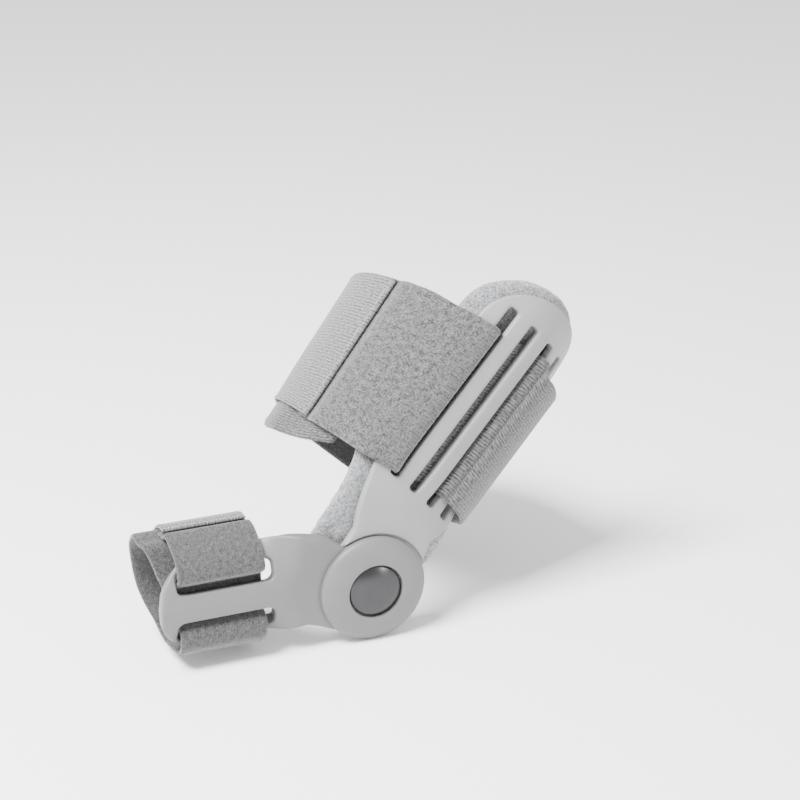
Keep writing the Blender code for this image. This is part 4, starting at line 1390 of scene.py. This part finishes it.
@dataclass
class Strap:
    """Band of webbing along a route, with stitched seams and fuzzy edges."""

    name: str
    node: str
    body: Body
    slot: Slot
    rows: list[Row]
    point: Callable[[Row, float], Vector]
    width: float
    thickness: float
    finish: LoopWebbing
    inset: float = 0.0
    columns: int = 72
    steps: int = 7
    brushed: Callable[[float], float] = field(default=lambda part: 1.0)
    pile: float = 0.12 * MM
    fray: float = 0.10 * MM
    roundness: float = 0.7

    def shares(self) -> list[float]:
        """Shares of the width, close together at the edges so that they round off."""
        low, high = self.inset, 1 - self.inset
        edge = [0.0, 0.05, 0.13, 0.25, 0.42, 0.65]
        radius = self.roundness * self.thickness / self.width
        inner = list(np.linspace(low + radius, high - radius, self.columns))
        outer = [high - radius * e for e in reversed(edge)]
        return [low + radius * e for e in edge] + inner + outer

    def lines(self, share: float) -> list[np.ndarray]:
        """Smooth line along the strap at a share of its width."""
        places = [tuple(self.point(row, share)) for row in self.rows]
        return smooth_through(places, self.steps)

    def sheet(self) -> bpy.types.Object:
        """Sheet at the middle of the strap, with its strap and edge attributes."""
        shares = self.shares()
        grid = np.array([self.lines(share) for share in shares])
        count = grid.shape[1]
        middle = grid[len(shares) // 2]
        lengths = np.concatenate([[0.0], np.cumsum(np.linalg.norm(np.diff(middle, axis=0), axis=1))])
        total = lengths[-1]
        ends = self.roundness * self.thickness
        vertices, along, edge = [], [], []
        for i, share in enumerate(shares):
            across = share * self.width
            rim = min(share - self.inset, 1 - self.inset - share) * self.width
            for j in range(count):
                sway = noise.noise(Vector((lengths[j] / (7 * MM), 3.1 * round(share), 0.4)))
                push = self.fray * sway * max(0.0, 1 - rim / (3 * MM))
                neighbour = grid[max(i - 1, 0)][j] - grid[min(i + 1, len(shares) - 1)][j]
                size = np.linalg.norm(neighbour)
                vertices.append(tuple(grid[i][j] + neighbour / max(size, 1e-9) * push))
                along.append((lengths[j], across, self.brushed(lengths[j] / total)))
                near = min(rim, lengths[j], total - lengths[j])
                ratio = min(max(near / ends, 0.0), 1.0)
                edge.append(math.sqrt(max(1 - (1 - ratio) ** 2, 0.0)))
        faces = [(i * count + j, i * count + j + 1, (i + 1) * count + j + 1, (i + 1) * count + j)
                 for i in range(len(shares) - 1) for j in range(count - 1)]
        mesh = bpy.data.meshes.new(self.name)
        mesh.from_pydata(vertices, [], faces)
        strap = mesh.attributes.new("strap", "FLOAT_VECTOR", "POINT")
        strap.data.foreach_set("vector", np.array(along, float).ravel())
        round_off = mesh.attributes.new("edge", "FLOAT", "POINT")
        round_off.data.foreach_set("value", np.array(edge, float))
        return link_mesh(self.name, mesh)

    def build(self, webbing: GeometryTree, fuzz: GeometryTree) -> list[bpy.types.Object]:
        """Weave the strap and stand loose fibres on its edges."""
        cloth = self.finish.material()
        band = self.sheet()
        webbing.run(band, Thickness=self.thickness, Rib_Pitch=self.finish.rib_pitch,
                    Rib_Relief=0.02 * MM, Pile_Relief=self.pile, Material=cloth)
        fibres = link_mesh(f"{self.name}_fibres", band.data.copy())
        across = np.empty(len(fibres.data.vertices) * 3)
        fibres.data.attributes["strap"].data.foreach_get("vector", across)
        across = across.reshape(-1, 3)
        rim = np.minimum(across[:, 1] - self.inset * self.width,
                         (1 - self.inset) * self.width - across[:, 1])
        stand = fibres.data.attributes.new("fuzz", "FLOAT", "POINT")
        amount = np.where(rim < 0.9 * MM, 1.0, 0.16 * across[:, 2])
        stand.data.foreach_set("value", amount.astype(float))
        fuzz.run(fibres, Density=5.0e6, Fibre_Length=0.55 * MM, Fibre_Radius=0.028 * MM,
                 Spread=1.0, Seed=len(self.name), Material=cloth)
        for piece in (band, fibres):
            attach(piece, self.body.value)
        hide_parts(self.node)
        return [band, fibres]

    def seam(self, name: str, tree: GeometryTree, row: float, thread: bpy.types.Material,
             pitch: float) -> bpy.types.Object:
        """Row of stitches across the strap.

        Args:
            name: Name of the piece.
            tree: Stitch tree.
            row: Place along the route, counted in rows.
            thread: Material of the thread.
            pitch: Distance between stitches.

        Returns:
            The stitches as one mesh.
        """
        index = int(round(row * self.steps))
        shares = np.linspace(self.inset + 0.03, 1 - self.inset - 0.03, 60)
        grid = [self.lines(share) for share in shares]
        places = []
        for i, line in enumerate(grid):
            forward = Vector(line[index + 1] - line[index - 1])
            sideways = Vector(grid[min(i + 1, 59)][index] - grid[max(i - 1, 0)][index])
            normal = forward.cross(sideways).normalized()
            places.append(Vector(line[index]) - normal * (self.thickness / 2 - 0.02 * MM))
        other = places[0] + (Vector(grid[0][index]) - places[0]) * 2
        if other.y < places[0].y - 0.1 * MM or other.z > places[0].z + 0.1 * MM:
            places = [p + (Vector(line[index]) - p) * 2 for p, line in zip(places, grid)]
        mesh = bpy.data.meshes.new(name)
        mesh.from_pydata([tuple(p) for p in places], [(i, i + 1) for i in range(59)], [])
        stitches = link_mesh(name, mesh)
        tree.run(stitches, Pitch=pitch, Length=pitch * 0.78, Thread_Radius=0.13 * MM,
                 Slant=0.1, Material=thread)
        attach(stitches, self.body.value)
        return stitches


# Studio


@dataclass
class Studio:
    """Pale floor, soft lights and the camera at the photograph's angle."""

    floor_height: float = -16.9 * MM
    azimuth: float = -22.646
    elevation: float = 21.878
    distance: float = 591.763 * MM
    target: tuple[float, float, float] = (12.118 * MM, 0.0, 56.287 * MM)
    focal: float = 89.76

    def away(self, azimuth: float, elevation: float) -> Vector:
        """Direction from the object to a viewer."""
        a, e = math.radians(azimuth), math.radians(elevation)
        return Vector((math.sin(a) * math.cos(e), -math.cos(a) * math.cos(e), math.sin(e)))

    def lamp(self, name: str, azimuth: float, elevation: float, distance: float, size: float,
             power: float) -> None:
        """Square soft light that looks at the object."""
        light = bpy.data.lights.new(name, "AREA")
        light.size = size
        light.energy = power
        obj = bpy.data.objects.new(name, light)
        bpy.context.scene.collection.objects.link(obj)
        back = self.away(azimuth, elevation)
        obj.location = Vector(self.target) + back * distance
        obj.rotation_euler = (-back).to_track_quat("-Z", "Y").to_euler()

    def build(self) -> None:
        """Set the floor, lights, sky and camera."""
        mesh = bpy.data.meshes.new("floor")
        size = 3.0
        corners = [(-size, -size), (size, -size), (size, size), (-size, size)]
        mesh.from_pydata([(x, y, self.floor_height) for x, y in corners], [], [(0, 1, 2, 3)])
        mesh.materials.append(StudioPaper().material())
        floor = link_mesh("floor", mesh)
        world = bpy.data.worlds.new("studio")
        world.use_nodes = True
        back = world.node_tree.nodes["Background"]
        back.inputs[0].default_value = (1.0, 1.0, 1.0, 1.0)
        back.inputs[1].default_value = 1.35
        bpy.context.scene.world = world
        self.lamp("key", -74.0, 56.0, 0.75, 0.30, 27.0)
        self.lamp("glint", 32.0, 4.0, 0.7, 0.06, 1.3)
        camera = bpy.data.cameras.new("camera")
        camera.lens = self.focal
        camera.sensor_width = 36.0
        camera.clip_start = 0.01
        obj = bpy.data.objects.new("camera", camera)
        bpy.context.scene.collection.objects.link(obj)
        back_way = self.away(self.azimuth, self.elevation)
        obj.location = Vector(self.target) + back_way * self.distance
        obj.rotation_euler = (-back_way).to_track_quat("-Z", "Y").to_euler()
        bpy.context.scene.camera = obj


def report(pieces: Sequence[bpy.types.Object]) -> None:
    """Log each piece with its triangles."""
    for piece in pieces:
        piece.data.calc_loop_triangles()
        log.info("%s: %d triangles", piece.name, len(piece.data.loop_triangles))


def build_straps(surface: SplintSurface, stack: Stack, slots: SlotRow, arm: ToeArm,
                 fuzz: GeometryTree) -> None:
    """Weave both straps and their hook tabs, and stitch their seams."""
    webbing = webbing_tree()
    stitches = stitch_tree()
    loop = FootLoop(surface, stack, slots)
    toe = ToeLoop(arm, stack)
    foot_cloth = LoopWebbing("foot_strap_loop_pile", grey(0.014), grey(0.135))
    # The tabs' shades are lighter than the foot strap's: partly the woven tab's own colour, partly
    # painted light from the upper left.
    tab_cloth = LoopWebbing("hook_tab_back", grey(0.035), grey(0.195), relief=0.26 * MM)
    toe_cloth = LoopWebbing("toe_strap_loop_pile", grey(0.009), grey(0.088), rib_pitch=0.85 * MM,
                            speckle=0.5 * MM)
    thread = SewingThread("grey_thread", grey(0.34)).material()

    def foot_nap(part: float) -> float:
        """Brushed at the front, ribbed by the slots and underneath."""
        return 1.0 - 0.85 * ease((0.86 - part) / 0.07)

    foot = Strap("foot_strap_band", "foot_strap", Body.SPLINT, Slot.FOOT_STRAP, loop.route(),
                 loop.point, loop.width, stack.strap, foot_cloth, columns=72, brushed=foot_nap)
    foot_tab = Strap("foot_hook_tab", "foot_strap_hook_tab", Body.SPLINT, Slot.TAB,
                     loop.tab_route(), loop.point, loop.width, stack.tab, tab_cloth,
                     inset=0.0113, columns=72, steps=10, brushed=lambda part: 0.1, pile=0.05 * MM)
    toe_band = Strap("toe_strap_band", "toe_strap", Body.TOE_ARM, Slot.TOE_STRAP, toe.route(),
                     toe.point, toe.width, stack.strap, toe_cloth, columns=44, steps=6,
                     brushed=lambda part: 0.85)
    toe_tab = Strap("toe_hook_tab", "toe_strap_hook_tab", Body.TOE_ARM, Slot.TAB, toe.tab_route(),
                    toe.point, toe.width, stack.tab, tab_cloth, inset=0.0188, columns=44,
                    steps=8, brushed=lambda part: 0.1, pile=0.05 * MM)
    for strap in (foot, foot_tab, toe_band, toe_tab):
        report(strap.build(webbing, fuzz))
    report([foot_tab.seam("foot_tab_stitches", stitches, 0.35, thread, 1.9 * MM),
            toe_tab.seam("toe_tab_stitches", stitches, 0.4, thread, 1.3 * MM),
            toe_tab.seam("toe_tab_stitches_back", stitches, 1.9, thread, 1.3 * MM)])


def main() -> None:
    """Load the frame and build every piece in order."""
    logging.basicConfig(level=logging.INFO, format="%(name)s: %(message)s")
    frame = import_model()
    surface = SplintSurface()
    stack = Stack()
    slots = SlotRow()
    fuzz = fuzz_tree()
    plate = SidePlate(surface, stack, slots)
    arm = ToeArm(stack)
    report([plate.build()])
    report([arm.build()])
    report([HingeRivet(stack).build()])
    report(FoamPad(surface, stack, plate).build(fuzz))
    build_straps(surface, stack, slots, arm, fuzz)
    Studio().build()


if __name__ == "__main__":
    main()
